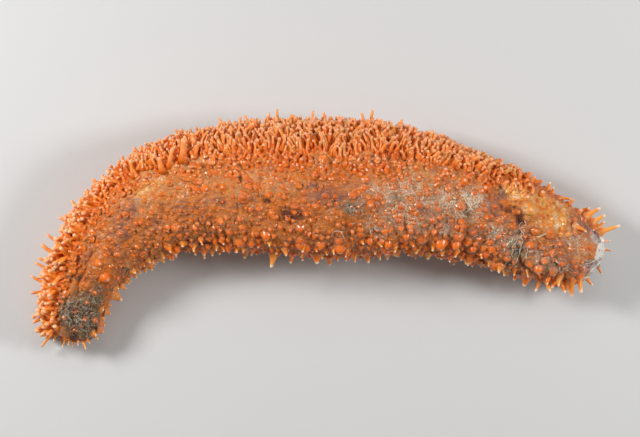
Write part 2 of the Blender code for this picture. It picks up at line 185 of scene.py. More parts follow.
class Body:
    """The bent tube. s is the distance along the centreline from the mouth, in metres, and phi
    the angle round it: 0 in the middle of the sole, a quarter turn up, half a turn at the back."""

    SAMPLES = 1500

    def __init__(self):
        drawn = np.array(STATIONS) * MM
        drawn[:, :2] -= np.array(BOX_MIDDLE) * MM
        chords = np.linalg.norm(np.diff(drawn[:, :2], axis=0), axis=1)
        knots = join([0.0], np.cumsum(chords))
        fine = natural_spline(knots, drawn, np.linspace(0, knots[-1], self.SAMPLES))
        runs = np.linalg.norm(np.diff(fine[:, :2], axis=0), axis=1)
        self.s = join([0.0], np.cumsum(runs))
        self.length = float(self.s[-1])
        self.line = fine[:, :2]
        self.half_width = fine[:, 2]
        self.along = unit(np.gradient(fine[:, :2], self.s, axis=0))
        self.lumps = Waves(9 * MM, 11)
        self.folds_across = Waves(2.1 * MM, 12, (1.0, 3.5, 1.0))
        self.webs = Waves(3.1 * MM, 13, (1.0, 3.6, 1.0))
        self.grain = Waves(1.25 * MM, 14)
        self.dents = Waves(2.0 * MM, 16)
        self.edge_waves = Waves(9 * MM, 15)
        self.warts = None
        self._grid_of_places()

    def _grid_of_places(self):
        """A fine grid of places on the upper skin, to look up what lies under a plan point."""
        shares, angles = np.linspace(0.001, 0.999, 460), np.radians(np.linspace(0, 180, 121))
        s, phi = np.meshgrid(shares * self.length, angles, indexing="ij")
        self.places = np.stack([s.ravel(), phi.ravel()], -1)
        self.plans = self.tube(s.ravel(), phi.ravel())[:, :2]

    @staticmethod
    def rounding(distance, over):
        """Share of the width left at a distance from an end that rounds off as an ellipse."""
        t = np.clip(distance / over, 0.0, 1.0)
        return np.sqrt(1 - (1 - t) ** 2)

    def width(self, s):
        """Half width at s: the stations' width, rounded off at both ends."""
        wide = np.interp(s, self.s, self.half_width)
        wide = wide * self.rounding(s, MOUTH.rounding)
        return wide * self.rounding(self.length - s, VENT.rounding)

    def rest_height(self, s):
        """Height of the centreline over the floor."""
        return np.interp(s, self.s, self.half_width) * HEIGHT_SHARE * (1 - SAG_SHARE)

    def axes(self, s):
        """Centre, tangent and direction of the sole at s."""
        centre, along = (
            np.stack([np.interp(s, self.s, column) for column in table.T], -1)
            for table in (self.line, self.along)
        )
        along = unit(along)
        flat = np.zeros(np.shape(s) + (1,))
        centre = np.concatenate([centre, self.rest_height(s)[..., None]], -1)
        tangent = np.concatenate([along, flat], -1)
        sole = np.stack([-along[..., 1], along[..., 0], flat[..., 0]], -1)
        return centre, tangent, sole

    def tube(self, s, phi):
        """The part's own skin: centre plus an ellipse of the half width and half height, times
        the shallow rings and lumps, kept above the floor."""
        centre, _, sole = self.axes(s)
        width = self.width(s)
        rings = np.sin(s / RING_LENGTH + RING_TILT * np.sin(phi))
        lumps = np.sin(s / LUMP_LENGTH + LUMP_TWIST * phi) * np.cos(LUMP_TURNS * phi)
        size = 1 + RING_SHARE * rings + LUMP_SHARE * lumps
        point = centre + sole * (width * size * np.cos(phi))[..., None]
        point[..., 2] += width * HEIGHT_SHARE * size * np.sin(phi)
        point[..., 2] = np.maximum(point[..., 2], 0.0)
        return point

    def normal(self, s, phi):
        """Outward direction of the ellipse, leaned back by the slope of the width along s."""
        _, tangent, sole = self.axes(s)
        width = np.maximum(self.width(s), 0.1 * MM)
        across = sole * (np.cos(phi) / width)[..., None]
        across[..., 2] += np.sin(phi) / (width * HEIGHT_SHARE)
        step = 0.4 * MM
        ahead, behind = np.minimum(s + step, self.length), np.maximum(s - step, 0.0)
        slope = (self.width(ahead) - self.width(behind)) / (ahead - behind)
        slope = np.clip(slope, -5, 5)
        return unit(unit(across) - tangent * slope[..., None])

    def around(self, s, phi):
        """Direction in which phi grows."""
        _, _, sole = self.axes(s)
        turned = -sole * np.sin(phi)[..., None]
        turned[..., 2] += np.cos(phi)
        return unit(turned)

    def radius(self, s):
        """Mean radius of the section, before the ends round off."""
        return np.interp(s, self.s, self.half_width) * (1 + HEIGHT_SHARE) / 2

    def sole_edge(self, s, phi):
        """Half angle of the band of feet: widest in the middle of the body, with a wavy edge."""
        middle = np.interp(s / self.length, *np.array(SOLE_EDGES).T)
        flank = np.sign(np.sin(phi)) * 20 * MM
        wave = self.edge_waves(np.stack([s, flank, s * 0.0], -1))
        return np.radians(middle + 6 * wave)

    def flat_map(self, s, phi):
        """The skin laid flat: distance along, angle times mean radius, and zero."""
        return np.stack([s, upper_turn(phi) * self.radius(s), np.zeros_like(s)], -1)

    def relief(self, s, phi):
        """Height of the soft skin over the tube: slow lumps, folds across the body, fine grain,
        webs that stand up between the feet, the drawn creases, all fading out at both ends."""
        flat = self.flat_map(s, phi)
        feet = 1 - smooth(-0.12, 0.12, from_sole(phi) - self.sole_edge(s, phi))
        height = 0.32 * self.lumps(flat) * (1 - 0.6 * feet)
        height += 0.24 * (1 - 1.6 * np.abs(self.folds_across(flat))) * (1 - feet)
        height += 0.2 * self.dents(flat) * (1 - feet) + 0.1 * self.grain(flat)
        height += 0.85 * (1 - np.abs(self.webs(flat))) ** 2 * feet - 0.25 * feet
        for crease in CREASES:
            height -= crease.depth * self.near_line(s, phi, crease.pixels, crease.width)
        for ridge in RIDGES:
            height += ridge.depth * self.near_line(s, phi, ridge.pixels, ridge.width)
        height += self.near_warts(s, phi)[0]
        ends = smooth(0.5 * MM, 5 * MM, s) * smooth(0.5 * MM, 6 * MM, self.length - s)
        off_floor = smooth(0, 3 * MM, self.tube(s, phi)[..., 2])
        return height * MM * ends * off_floor

    def near_warts(self, s, phi):
        """Around every wart, worked out in slices along the body: the skin's swelling in
        millimetres, a bell over the distance to the nearest root; and the same bell's height,
        0 to 1, and that of a ring outside it."""
        swell, near, ring = (np.zeros(np.size(s), np.float32) for _ in range(3))
        if self.warts is not None:
            at = self.flat_map(self.warts["s"], self.warts["phi"])[:, :2].astype(np.float32)
            flat = self.flat_map(np.ravel(s), np.ravel(phi))[:, :2].astype(np.float32)
            size = (self.warts["size"] * WART_REACH * MM).astype(np.float32)
            rise = (self.warts["height"] / MM * SWELL_SHARE).astype(np.float32)
            for part in np.array_split(np.argsort(flat[:, 0]), 1 + np.size(s) // 600):
                low, high = flat[part, 0].min() - 4 * MM, flat[part, 0].max() + 4 * MM
                close = (at[:, 0] > low) & (at[:, 0] < high)
                if close.any():
                    away = np.linalg.norm(flat[part][:, None, :] - at[close][None, :, :], axis=-1)
                    away = away / size[close]
                    bells = np.exp(-(away**2))
                    swell[part] = (bells * rise[close]).max(1)
                    near[part] = bells.max(1)
                    # the ring outside each wart's bell, used for painted shade round its foot
                    ring[part] = np.exp(-(((away - 1.25) / 0.35) ** 2)).max(1)
        return tuple(found.reshape(np.shape(s)) for found in (swell, near, ring))

    def skin(self, s, phi):
        """Places on the finished skin: the tube plus the relief along its outward direction."""
        point = self.tube(s, phi) + self.normal(s, phi) * self.relief(s, phi)[..., None]
        point[..., 2] = np.maximum(point[..., 2], 0.0)
        return point

    def place(self, pixels):
        """s and phi of the upper skin under pixels: the nearest plan point of a fine grid."""
        plan = from_picture(pixels).reshape(-1, 2)
        nearest = np.array([((self.plans - p) ** 2).sum(-1).argmin() for p in plan])
        return self.places[nearest, 0], self.places[nearest, 1]

    def near_line(self, s, phi, pixels, width):
        """1 on a line drawn through pixels, falling off as a bell over a width in millimetres.
        Distances are measured on the flattened skin."""
        line_s, line_phi = self.place(pixels)
        line = self.flat_map(line_s, line_phi)[:, :2]
        at = self.flat_map(s, phi)[..., :2]
        best = np.full(np.shape(s), 1.0)
        for first, second in zip(line, line[1:]):
            run = second - first
            t = np.clip((at - first) @ run / max(run @ run, 1e-12), 0, 1)
            off = at - first - t[..., None] * run
            best = np.minimum(best, np.linalg.norm(off, axis=-1))
        return np.exp(-((best / (width * MM)) ** 2))

    def unwrap(self, s, phi):
        """Place on the unwrapped skin: the share of the length, and the share of a turn from the
        middle of the underside."""
        u = (s + END_UNWRAP) / (self.length + 2 * END_UNWRAP)
        v = (phi / TURN + 0.25) % 1.0
        return np.stack([u, v], -1)


Line = namedtuple("Line", "pixels depth width")
# Creases and ridges of the skin: pixels of the picture that the line goes through, depth and
# width in millimetres
CREASES = (
    Line(((82, 252), (76, 272), (68, 291)), 0.9, 0.7),
    Line(((88, 266), (80, 281), (77, 296)), 0.7, 0.6), Line(((96, 250), (88, 262)), 0.5, 0.6),
    Line(((73, 318), (72, 332), (75, 340)), 0.8, 0.8), Line(((92, 240), (80, 256)), 0.4, 0.5),
    Line(((120, 232), (137, 212)), 0.35, 0.6), Line(((180, 241), (197, 243), (214, 242)), 0.6, 0.6),
    Line(((500, 206), (519, 222), (534, 233)), 0.5, 0.9),
    Line(((519, 226), (516, 244), (520, 262)), 0.5, 0.8),
)
RIDGES = (
    Line(((78, 275), (72, 292)), 0.5, 1.0), Line(((100, 262), (86, 284)), 0.5, 1.5),
    Line(((183, 138), (185, 162)), 1.1, 1.1), Line(((158, 152), (165, 172)), 0.9, 1.2),
    Line(((172, 148), (174, 168)), 0.5, 0.8), Line(((196, 142), (193, 160)), 0.6, 0.8),
    Line(((208, 140), (212, 158)), 0.5, 0.8), Line(((135, 172), (175, 164), (215, 160)), 0.35, 1.8),
    Line(((84, 258), (95, 270)), 0.7, 2.2), Line(((74, 268), (70, 282)), 0.6, 1.6),
    Line(((82, 284), (93, 290)), 0.6, 1.8), Line(((100, 250), (108, 262)), 0.5, 2.0),
    Line(((505, 190), (520, 197)), 0.5, 1.8), Line(((530, 205), (545, 214), (556, 224)), 0.7, 2.6),
    Line(((524, 212), (530, 214)), 0.6, 1.8),
)

# Markings: pixel across and down, half size along and across in pixels, degrees turned, strength
MARKINGS = {
    "dusk": (
        (267, 200, 6, 4, -15, 1.0), (292, 214, 14, 6, 0, 1.1), (250, 212, 10, 3, -30, 0.35),
        (519, 219, 5, 7, 30, 1.2), (508, 210, 8, 5, 35, 0.8), (524, 236, 6, 8, 0, 0.8),
        (518, 262, 6, 6, 0, 0.7), (149, 253, 5, 4, 0, 0.7), (168, 248, 9, 3, 0, 0.6),
        (202, 243, 16, 3, 0, 0.7), (73, 337, 5, 5, 0, 1.2), (70, 330, 12, 9, 20, 0.6),
        (84, 270, 16, 18, 20, 0.42), (76, 277, 5, 16, 25, 0.8), (80, 312, 14, 16, 12, 0.5),
        (468, 254, 7, 4, 0, 0.8), (540, 284, 8, 5, 0, 0.6), (348, 182, 4, 3, 0, 0.5),
        (364, 184, 3, 3, 0, 0.6), (220, 203, 8, 3, -25, 0.45),
    ),
    "mauve": (
        (326, 197, 17, 9, 0, 1.0), (314, 186, 8, 4, 0, 0.7), (345, 197, 10, 6, 0, 0.9),
        (370, 202, 7, 5, 0, 0.9), (131, 212, 14, 8, 50, 0.8), (122, 228, 9, 14, -35, 0.8),
        (156, 222, 12, 5, -20, 0.6), (185, 206, 20, 6, -12, 0.6), (201, 202, 6, 4, 0, 0.7),
        (219, 201, 7, 4, 0, 0.8), (243, 202, 14, 5, 20, 0.6), (180, 232, 16, 6, 0, 0.45),
        (425, 212, 16, 5, 0, 0.8), (448, 212, 10, 4, 0, 0.6), (491, 208, 9, 12, 30, 1.0),
        (500, 196, 6, 8, 20, 0.8), (478, 233, 12, 8, 0, 0.7), (420, 232, 14, 6, 0, 0.4),
        (560, 246, 22, 7, 10, 0.5), (579, 219, 9, 10, 40, 1.1), (590, 232, 7, 8, 40, 0.9),
        (570, 266, 18, 6, -8, 0.8), (86, 336, 7, 6, 0, 0.6), (90, 252, 8, 6, 0, 0.6),
        (118, 246, 12, 6, 30, 0.5), (380, 232, 10, 6, 0, 0.4), (445, 222, 45, 16, 8, 0.42),
        (500, 236, 30, 20, 20, 0.5), (545, 256, 38, 16, 14, 0.5), (120, 232, 16, 24, -30, 0.35),
        (150, 240, 22, 10, 0, 0.4), (205, 216, 40, 12, -6, 0.3),
    ),
    "fuzz": (
        (352, 208, 10, 7, 0, 1.3), (362, 220, 10, 7, -30, 0.6), (394, 198, 9, 6, 0, 0.6),
        (436, 204, 11, 5, 0, 0.5), (465, 214, 8, 6, 0, 0.7), (515, 250, 9, 10, 0, 0.9),
        (507, 263, 9, 5, 0, 1.1), (530, 268, 8, 6, 0, 0.9), (552, 268, 10, 6, 0, 0.8),
        (462, 259, 8, 4, 0, 1.0), (396, 246, 8, 4, 0, 0.7), (80, 316, 18, 22, 12, 1.7),
        (93, 300, 10, 13, 0, 1.2), (99, 288, 8, 10, 30, 0.8), (67, 304, 7, 16, 0, 1.0),
        (66, 277, 4, 6, 0, 0.6), (295, 196, 9, 4, 0, 0.5), (330, 216, 6, 5, 0, 0.5),
        (346, 236, 12, 6, -20, 0.4), (484, 178, 12, 6, -25, 0.4),
    ),
    "bloom": (
        (396, 200, 16, 12, 0, 1.0), (410, 188, 10, 6, 0, 1.3), (432, 200, 18, 10, 0, 0.9),
        (452, 205, 16, 10, 0, 1.2), (470, 203, 12, 12, 30, 1.2), (400, 218, 26, 10, 0, 0.8),
        (436, 226, 18, 7, 0, 0.7), (378, 228, 16, 9, 0, 0.6), (372, 190, 10, 7, 0, 0.7),
        (352, 207, 9, 6, 0, 0.9), (500, 236, 16, 10, 0, 0.7), (515, 248, 9, 14, 0, 0.8),
        (546, 262, 22, 9, 8, 0.7), (462, 258, 12, 4, 0, 0.9), (120, 236, 20, 8, -35, 0.4),
        (575, 240, 14, 12, 0, 0.6),
    ),
    "glow": (
        (548, 210, 26, 18, 25, 1.3), (556, 224, 16, 10, 0, 1.2), (512, 194, 16, 10, 20, 1.0),
        (527, 211, 10, 9, 0, 1.1), (575, 250, 24, 12, 0, 0.55), (152, 190, 22, 9, -5, 0.9),
        (185, 178, 30, 6, -5, 0.5), (95, 205, 14, 12, 0, 0.4), (400, 165, 16, 6, 0, 0.4),
        (540, 240, 16, 9, 0, 0.5),
    ),
    "vivid": (
        (120, 190, 16, 9, 30, 0.8), (105, 277, 7, 9, 0, 1.1), (92, 262, 8, 8, 0, 0.5),
        (86, 284, 6, 8, 20, 0.7), (268, 240, 16, 6, 0, 0.8), (305, 245, 14, 6, 0, 0.8),
        (341, 246, 9, 6, 0, 0.7), (387, 242, 9, 6, 0, 0.7), (440, 241, 9, 8, 0, 1.0),
        (456, 244, 9, 6, 0, 0.8), (496, 249, 10, 5, 20, 1.0), (240, 242, 12, 5, 0, 0.6),
        (176, 247, 8, 5, 0, 0.6), (285, 167, 24, 6, 0, 0.8), (240, 160, 14, 6, 0, 0.6),
        (420, 155, 20, 7, 0, 0.6), (495, 182, 9, 6, 0, 0.6), (560, 286, 18, 5, 0, 0.6),
        (75, 250, 12, 30, 0, 0.4),
    ),
    "pale": (
        (150, 171, 24, 6, 8, 1.1), (195, 163, 22, 5, 4, 1.0), (235, 185, 20, 8, 10, 0.7),
        (278, 184, 20, 8, 0, 0.9), (255, 178, 14, 6, 0, 0.8), (365, 156, 18, 7, -5, 0.9),
        (330, 158, 20, 6, 0, 0.6), (420, 172, 20, 7, 0, 0.7), (452, 176, 14, 7, -15, 0.7),
        (185, 190, 26, 10, -10, 0.6), (150, 208, 16, 8, 0, 0.5), (540, 226, 14, 8, 0, 0.4),
        (548, 190, 18, 7, -25, 0.6), (84, 319, 3.4, 3.4, 0, 1.2), (240, 220, 16, 8, 0, 0.4),
    ),
    "cap": (
        (597, 270, 12, 9, 35, 1.0), (595, 238, 8, 7, 0, 0.7),
    ),
    "window": (
        (591, 265, 9, 6, 25, 1.5), (596, 236, 6, 5, 0, 1.2), (596, 275, 6, 5, 35, 1.0),
    ),
}
OTHER_SIDE_SHIFT = 0.09  # share of the length by which the unseen flank's markings are moved


def markings(s, phi):
    """Strength of every kind of marking at places on the skin. Each spot is a bell over its own
    turned ellipse on the flattened skin, seen again on the other flank a little further on."""
    flat = BODY.flat_map(s, phi)[..., :2]
    found = {}
    for kind, spots in MARKINGS.items():
        spots = np.array(spots, float)
        at_s, at_phi = BODY.place(spots[:, :2])
        total = np.zeros(np.shape(s))
        for (_, _, length, width, turn, strength), spot_s, spot_phi in zip(spots, at_s, at_phi):
            turn = math.radians(turn)
            for side, shift in ((1, 0.0), (-1, OTHER_SIDE_SHIFT * BODY.length)):
                centre = BODY.flat_map(np.array(spot_s + shift), np.array(side * spot_phi))[:2]
                off = flat - centre
                girth = TURN * BODY.radius(s)
                off[..., 1] = (off[..., 1] + girth / 2) % girth - girth / 2
                along = off[..., 0] * math.cos(turn) - off[..., 1] * math.sin(turn)
                across = off[..., 0] * math.sin(turn) + off[..., 1] * math.cos(turn)
                far = (along / (length * PIXEL)) ** 2 + (across / (width * PIXEL)) ** 2
                total = np.maximum(total, strength * np.exp(-0.7 * far))
        found[kind] = total
    share = s / BODY.length
    feet = 1 - smooth(-0.16, 0.10, from_sole(phi) - BODY.sole_edge(s, phi))
    found["feet"] = feet * smooth(0.0, 0.02, share) * (1 - smooth(0.93, 0.97, share))
    found["left"] = 1 - smooth(0.16, 0.36, share)
    # a pale rim round the very end at the vent: partly pale skin, partly painted rim light
    rim = 1.4 * smooth(BODY.length - 3.4 * MM, BODY.length - 1.6 * MM, s)
    found["cap"] = np.maximum(found["cap"], rim)
    rear = smooth(0.52, 0.68, share) * (1 - feet) * (1 - smooth(0.4, 1.0, found["glow"]))
    found["bloom"] = found["bloom"] + 0.2 * rear
    found["mauve"] = found["mauve"] + 0.1 * rear
    return found


# Meshes


def write_mesh(name, points, corners, starts, unwrapped, values):
    """A mesh from arrays: vertex places, vertex of each corner, first corner of each face, place
    of each corner on the unwrapped skin, and named values at the vertices."""
    mesh = bpy.data.meshes.new(name)
    mesh.vertices.add(len(points))
    mesh.vertices.foreach_set("co", points.astype(np.float32).ravel())
    mesh.loops.add(len(corners))
    mesh.loops.foreach_set("vertex_index", corners.astype(np.int32).ravel())
    mesh.polygons.add(len(starts))
    mesh.polygons.foreach_set("loop_start", starts.astype(np.int32))
    mesh.update(calc_edges=True)
    layer = mesh.uv_layers.new(name="OFBake")
    layer.data.foreach_set("uv", unwrapped.astype(np.float32).ravel())
    for key, numbers in values.items():
        field = mesh.attributes.new(key, "FLOAT", "POINT")
        field.data.foreach_set("value", np.asarray(numbers, np.float32).ravel())
    if mesh.validate():
        raise RuntimeError(name + " has faulty faces")
    mesh.shade_smooth()
    obj = bpy.data.objects.new(name, mesh)
    bpy.context.scene.collection.objects.link(obj)
    return obj


def sprouts(name, s, phi, profile, centres, radii, side, stretch, sides, more):
    """Many tapered closed pieces in one mesh. Each is a profile carried along its path, centres
    (N, K, 3) and radii (N, K): rings square to the path, turned from one side axis and widened
    along it, with a cap under the root and a point past the last ring. Every piece has the
    markings of its root and the values in more."""
    count, rings = radii.shape
    path = unit(np.gradient(centres, axis=1))
    side = side[:, None, :]
    first = unit(side - path * (side * path).sum(-1, keepdims=True))
    second = np.cross(path, first)
    end = unit(centres[:, -1] - centres[:, -2])
    apex = centres[:, -1] + end * (radii[:, -1] * 0.42)[:, None]
    angle = np.arange(sides) * TURN / sides
    out = (
        np.cos(angle)[:, None] * first[:, :, None, :] * stretch[:, None, None, None]
        + np.sin(angle)[:, None] * second[:, :, None, :]
    )
    wall = centres[:, :, None, :] + radii[:, :, None, None] * out
    wall[..., 2] = np.maximum(wall[..., 2], FLOOR_CLEAR * 0.2)
    points = np.concatenate([wall.reshape(count, -1, 3), apex[:, None, :]], 1)
    each = rings * sides + 1

    here = np.arange(sides)
    after = (here + 1) % sides
    bands = np.arange(rings - 1)[:, None] * sides
    quads = np.stack([bands + here, bands + after, bands + after + sides, bands + here + sides], -1)
    last = (rings - 1) * sides
    tops = np.stack([last + here, last + after, np.full(sides, rings * sides)], -1)
    corners = join(here[::-1], quads.ravel(), tops.ravel())
    sizes = join([sides], np.full(quads.shape[0] * sides, 4), np.full(sides, 3))
    starts = join([0], np.cumsum(sizes)[:-1])
    shift = np.arange(count)[:, None]
    all_corners = (corners + shift * each).ravel()
    all_starts = (starts + shift * len(corners)).ravel()

    level = 1 - np.arange(rings) / rings
    spread = np.stack([np.cos(angle), np.sin(angle)], -1) * PATCH
    patch = (level[:, None, None] * spread).reshape(-1, 2)
    patch = join(patch, np.zeros((1, 2)))
    middle = np.clip(BODY.unwrap(s, phi), 1.5 * PATCH, 1 - 1.5 * PATCH)
    unwrapped = (middle[:, None, :] + patch)[:, corners, :].reshape(-1, 2)

    share = np.clip(profile[:, 0], 0, 1)
    values = {"tip": np.tile(np.append(np.repeat(share, sides), 1.0), count)}
    for key, numbers in {**markings(s, phi), **more}.items():
        values[key] = np.repeat(numbers, each)
    return write_mesh(
        name, points.reshape(-1, 3), all_corners, all_starts, unwrapped, values
    )


ROW_STEP = 0.9  # distance between the rows of a scatter, over its pitch


def scatter(rng, reach, edges, pitch, jitter):
    """Places in staggered rows along the body, in each row as many as fit between two angles,
    each moved a little at random. edges gives the two angles at s."""
    found_s, found_phi = [], []
    start, end = reach
    rows = max(1, round((end - start) / (pitch * ROW_STEP)))
    for row in range(rows):
        s = start + (row + 0.5) * (end - start) / rows
        low, high = edges(s)
        narrowed = BODY.width(np.array(s)) / np.interp(s, BODY.s, BODY.half_width)
        girth = (high - low) * float(BODY.radius(np.array(s))) * float(max(narrowed, 0.3))
        count = max(1, round(girth / pitch))
        step = (high - low) / count
        places = np.arange(count) + 0.5 + (0.25 if row % 2 else -0.25)
        found_phi.append(low + (places + rng.uniform(-jitter, jitter, count)) * step)
        found_s.append(s + rng.uniform(-jitter, jitter, count) * pitch)
    s = np.clip(np.concatenate(found_s), start, end)
    return s, np.concatenate(found_phi)


def keep(mask, *arrays):
    """The entries of arrays where a mask holds."""
    return [array[mask] for array in arrays]


# How many sides the rings of each shape have
FOOT_SIDES, STUB_SIDES, WART_SIDES, GRAIN_SIDES, CONE_SIDES, AIMED_SIDES, THREAD_SIDES = (
    8, 8, 10, 6, 9, 10, 5,
)
# Shapes of what grows on the skin: place along the length, radius over the shaft's
FOOT_PROFILE = np.array(
    ((-0.25, 2.1), (0.0, 1.75), (0.14, 1.3), (0.36, 1.06), (0.68, 0.9), (0.86, 0.98), (0.97, 0.84))
)
WART_PROFILE = np.array(
    ((-0.7, 1.6), (-0.34, 1.26), (-0.06, 1.0), (0.25, 0.79), (0.6, 0.55), (0.93, 0.25))
)
GRAIN_PROFILE = np.array(((-0.5, 1.25), (0.1, 1.0), (0.7, 0.6)))
STUB_PROFILE = np.array(((-0.3, 1.9), (0.0, 1.6), (0.25, 1.2), (0.6, 1.0), (0.88, 0.86)))
DOME_PROFILE = np.array(
    ((-0.6, 1.45), (-0.25, 1.16), (0.05, 0.98), (0.4, 0.83), (0.74, 0.58), (0.94, 0.26))
)
CONE_PROFILE = np.array(
    (
        (-0.3, 3.4), (0.0, 2.9), (0.1, 2.3), (0.24, 1.6), (0.42, 1.2), (0.68, 0.95), (0.88, 0.86),
        (0.98, 0.62),
    )
)
BROAD_PROFILE = np.array(
    (
        (-0.3, 4.2), (0.0, 3.5), (0.12, 2.9), (0.3, 2.1), (0.5, 1.5), (0.7, 1.1), (0.88, 0.86),
        (0.98, 0.6),
    )
)


def paths(profile, root, rise, length, bend):
    """Centres along a path: root + length * (t * rise + t^2 * bend), with t the place along the
    profile, straight below the skin."""
    t = profile[:, 0][None, :, None]
    run = t * rise[:, None, :] + np.maximum(t, 0) ** 2 * bend[:, None, :]
    return root[:, None, :] + length[:, None, None] * run


def lift(centres, radii):
    """Keeps the rings of every path clear of the floor by their own radius, past the root."""
    centres = centres.copy()
    centres[:, 1:, 2] = np.maximum(centres[:, 1:, 2], radii[:, 1:] + FLOOR_CLEAR)
    return centres


def still(count):
    """No lean and no bend."""
    return np.zeros(count), np.zeros(count)


def grow(name, s, phi, profile, length, thick, lean, bend, sides, more, stretch=None, slant=None):
    """Pieces on the skin at s and phi. lean holds the tangents of the lean towards the vent and
    round the body, bend the curve in the same two directions. stretch widens a piece along the
    line that slant turns from the body's own direction."""
    count = len(s)
    root = BODY.skin(s, phi)
    _, tangent, _ = BODY.axes(s)
    around = BODY.around(s, phi)
    normal = BODY.normal(s, phi)
    rise = unit(normal + tangent * lean[0][:, None] + around * lean[1][:, None])
    curve = tangent * bend[0][:, None] + around * bend[1][:, None]
    radii = profile[:, 1][None, :] * thick[:, None]
    centres = lift(paths(profile, root, rise, length, curve), radii)
    slant = np.zeros(count) if slant is None else slant
    side = tangent * np.cos(slant)[:, None] + around * np.sin(slant)[:, None]
    stretch = np.ones(count) if stretch is None else stretch
    return sprouts(name, s, phi, profile, centres, radii, side, stretch, sides, more)


def build_skin():
    """The whole skin as one closed grid. Rings run from the bottom of the mouth's dimple over the
    body to the bottom of the vent's, and columns round the body from the middle of the underside,
    closer on the upper flank."""
    turn = np.arange(COLUMNS + 1) / COLUMNS
    phi = TURN * turn - CROWDING * np.sin(TURN * turn - math.pi) - math.pi / 2
    phi = phi[:-1]
    quarter = np.linspace(0, 1, MOUTH_RINGS + 1)[:-1]
    low = math.acos(1 - LAST_RING)
    mouth_s = MOUTH.rounding * (1 - np.cos(low + (math.pi / 2 - low) * quarter))
    quarter = np.linspace(0, 1, VENT_RINGS + 1)[:-1]
    vent_s = BODY.length - VENT.rounding * (1 - np.cos(low + (math.pi / 2 - low) * quarter))
    middle = np.linspace(MOUTH.rounding, BODY.length - VENT.rounding, BODY_RINGS)
    ring_s = join(mouth_s, middle, vent_s[::-1])
    s, angle = np.meshgrid(ring_s, phi, indexing="ij")
    points = BODY.skin(s.ravel(), angle.ravel()).reshape(len(ring_s), COLUMNS, 3)
    front, front_u = dimple(points[2], points[0], phi, MOUTH, 0.0, 1)
    back, back_u = dimple(points[-3], points[-1], phi, VENT, BODY.length, -1)
    points = join(front[::-1], points, back)
    u = join(front_u[::-1], BODY.unwrap(ring_s, ring_s * 0)[:, 0], back_u)
    all_s = join(np.zeros(len(front)), ring_s, np.full(len(back), BODY.length))

    rings = len(points)
    i, j = np.meshgrid(np.arange(rings - 1), np.arange(COLUMNS), indexing="ij")
    next_j = (j + 1) % COLUMNS
    low, high = i * COLUMNS, (i + 1) * COLUMNS
    quads = np.stack([low + j, low + next_j, high + next_j, high + j], -1).reshape(-1, 4)
    round_v = np.append(phi, phi[0] + TURN) / TURN + 0.25
    unwrapped = np.stack(
        [
            np.stack([u[i], u[i], u[i + 1], u[i + 1]], -1).ravel(),
            np.stack([round_v[j], round_v[j + 1], round_v[j + 1], round_v[j]], -1).ravel(),
        ],
        -1,
    )

    here = np.arange(COLUMNS)
    after = (here + 1) % COLUMNS
    count = rings * COLUMNS
    last = count - COLUMNS
    fan_one = np.stack([here, np.full(COLUMNS, count), after], -1)
    fan_two = np.stack([last + here, last + after, np.full(COLUMNS, count + 1)], -1)
    poles = np.stack([points[0].mean(0), points[-1].mean(0)])
    half = (round_v[:-1] + round_v[1:]) / 2
    ends = []
    for edge_u, order in ((0.0, (0, 2, 1)), (1.0, (0, 1, 2))):
        ring_u = u[0] if edge_u == 0.0 else u[-1]
        corner = (
            np.stack([np.full(COLUMNS, ring_u), round_v[:-1]], -1),
            np.stack([np.full(COLUMNS, ring_u), round_v[1:]], -1),
            np.stack([np.full(COLUMNS, edge_u), half], -1),
        )
        ends.append(np.stack([corner[k] for k in order], 1).reshape(-1, 2))
    corners = join(quads.ravel(), fan_one.ravel(), fan_two.ravel())
    sizes = join(np.full(len(quads), 4), np.full(2 * COLUMNS, 3))
    starts = join([0], np.cumsum(sizes)[:-1])
    unwrapped = join(unwrapped, ends[0], ends[1])

    grid_s, grid_phi = np.meshgrid(all_s, phi, indexing="ij")
    flat_s = np.append(grid_s.ravel(), [0.0, BODY.length])
    flat_phi = np.append(grid_phi.ravel(), [0.0, 0.0])
    values = markings(flat_s, flat_phi)
    # a ring round the foot of each wart, where the skin gets painted shade
    _, values["wart"], values["pit"] = BODY.near_warts(flat_s, flat_phi)
    # 1 where the relief sinks below the skin: painted shade in the creases
    values["fold"] = smooth(0.25, -0.55, BODY.relief(flat_s, flat_phi) / MM)
    points = join(points.reshape(-1, 3), poles)
    return write_mesh("skin", points, corners, starts, unwrapped, values)


def dimple(before, edge, phi, end, s, inwards):
    """Rings from the body's last ring into a pleated dimple: a natural spline through the body's
    last rings, the rim and the rings of the dimple, each a circle round the axis whose radius
    waves with the pleats."""
    centre, tangent, sole = (a[0] for a in BODY.axes(np.array([s])))
    keys = [before, edge]
    for radius, sunk, pleated in DIMPLE:
        size = end.rim * radius * (1 + PLEAT_SHARE * pleated * np.cos(PLEATS * phi))
        out = sole * np.cos(phi)[:, None] + np.array([0, 0, 1.0]) * np.sin(phi)[:, None]
        keys.append(centre + out * size[:, None] + tangent * (inwards * end.depth * sunk))
    keys = np.stack(keys)
    knots = np.array([0, 0.5] + [1.5 + k for k in range(len(DIMPLE))])
    at = np.linspace(0.5, knots[-1], DIMPLE_RINGS + 1)[1:]
    rings = natural_spline(knots, keys.reshape(len(keys), -1), at).reshape(len(at), -1, 3)
    rings[..., 2] = np.maximum(rings[..., 2], 0.0)
    start = BODY.unwrap(np.array([s + inwards * end.rounding * LAST_RING]), np.zeros(1))[0, 0]
    finish = EDGE_ROOM if inwards > 0 else 1 - EDGE_ROOM
    return rings, start + (finish - start) * np.arange(1, DIMPLE_RINGS + 1) / DIMPLE_RINGS


# Sizes and colours that a user would change


def length_value(name, description, default):
    """A length property, given in metres."""
    return bpy.props.FloatProperty(
        name=name, description=description, default=default, min=0.0, unit="LENGTH", precision=5
    )


def colour_value(name, description, default):
    """A colour property."""
    return bpy.props.FloatVectorProperty(
        name=name, description=description, default=default, size=3, min=0, max=1, subtype="COLOR"
    )


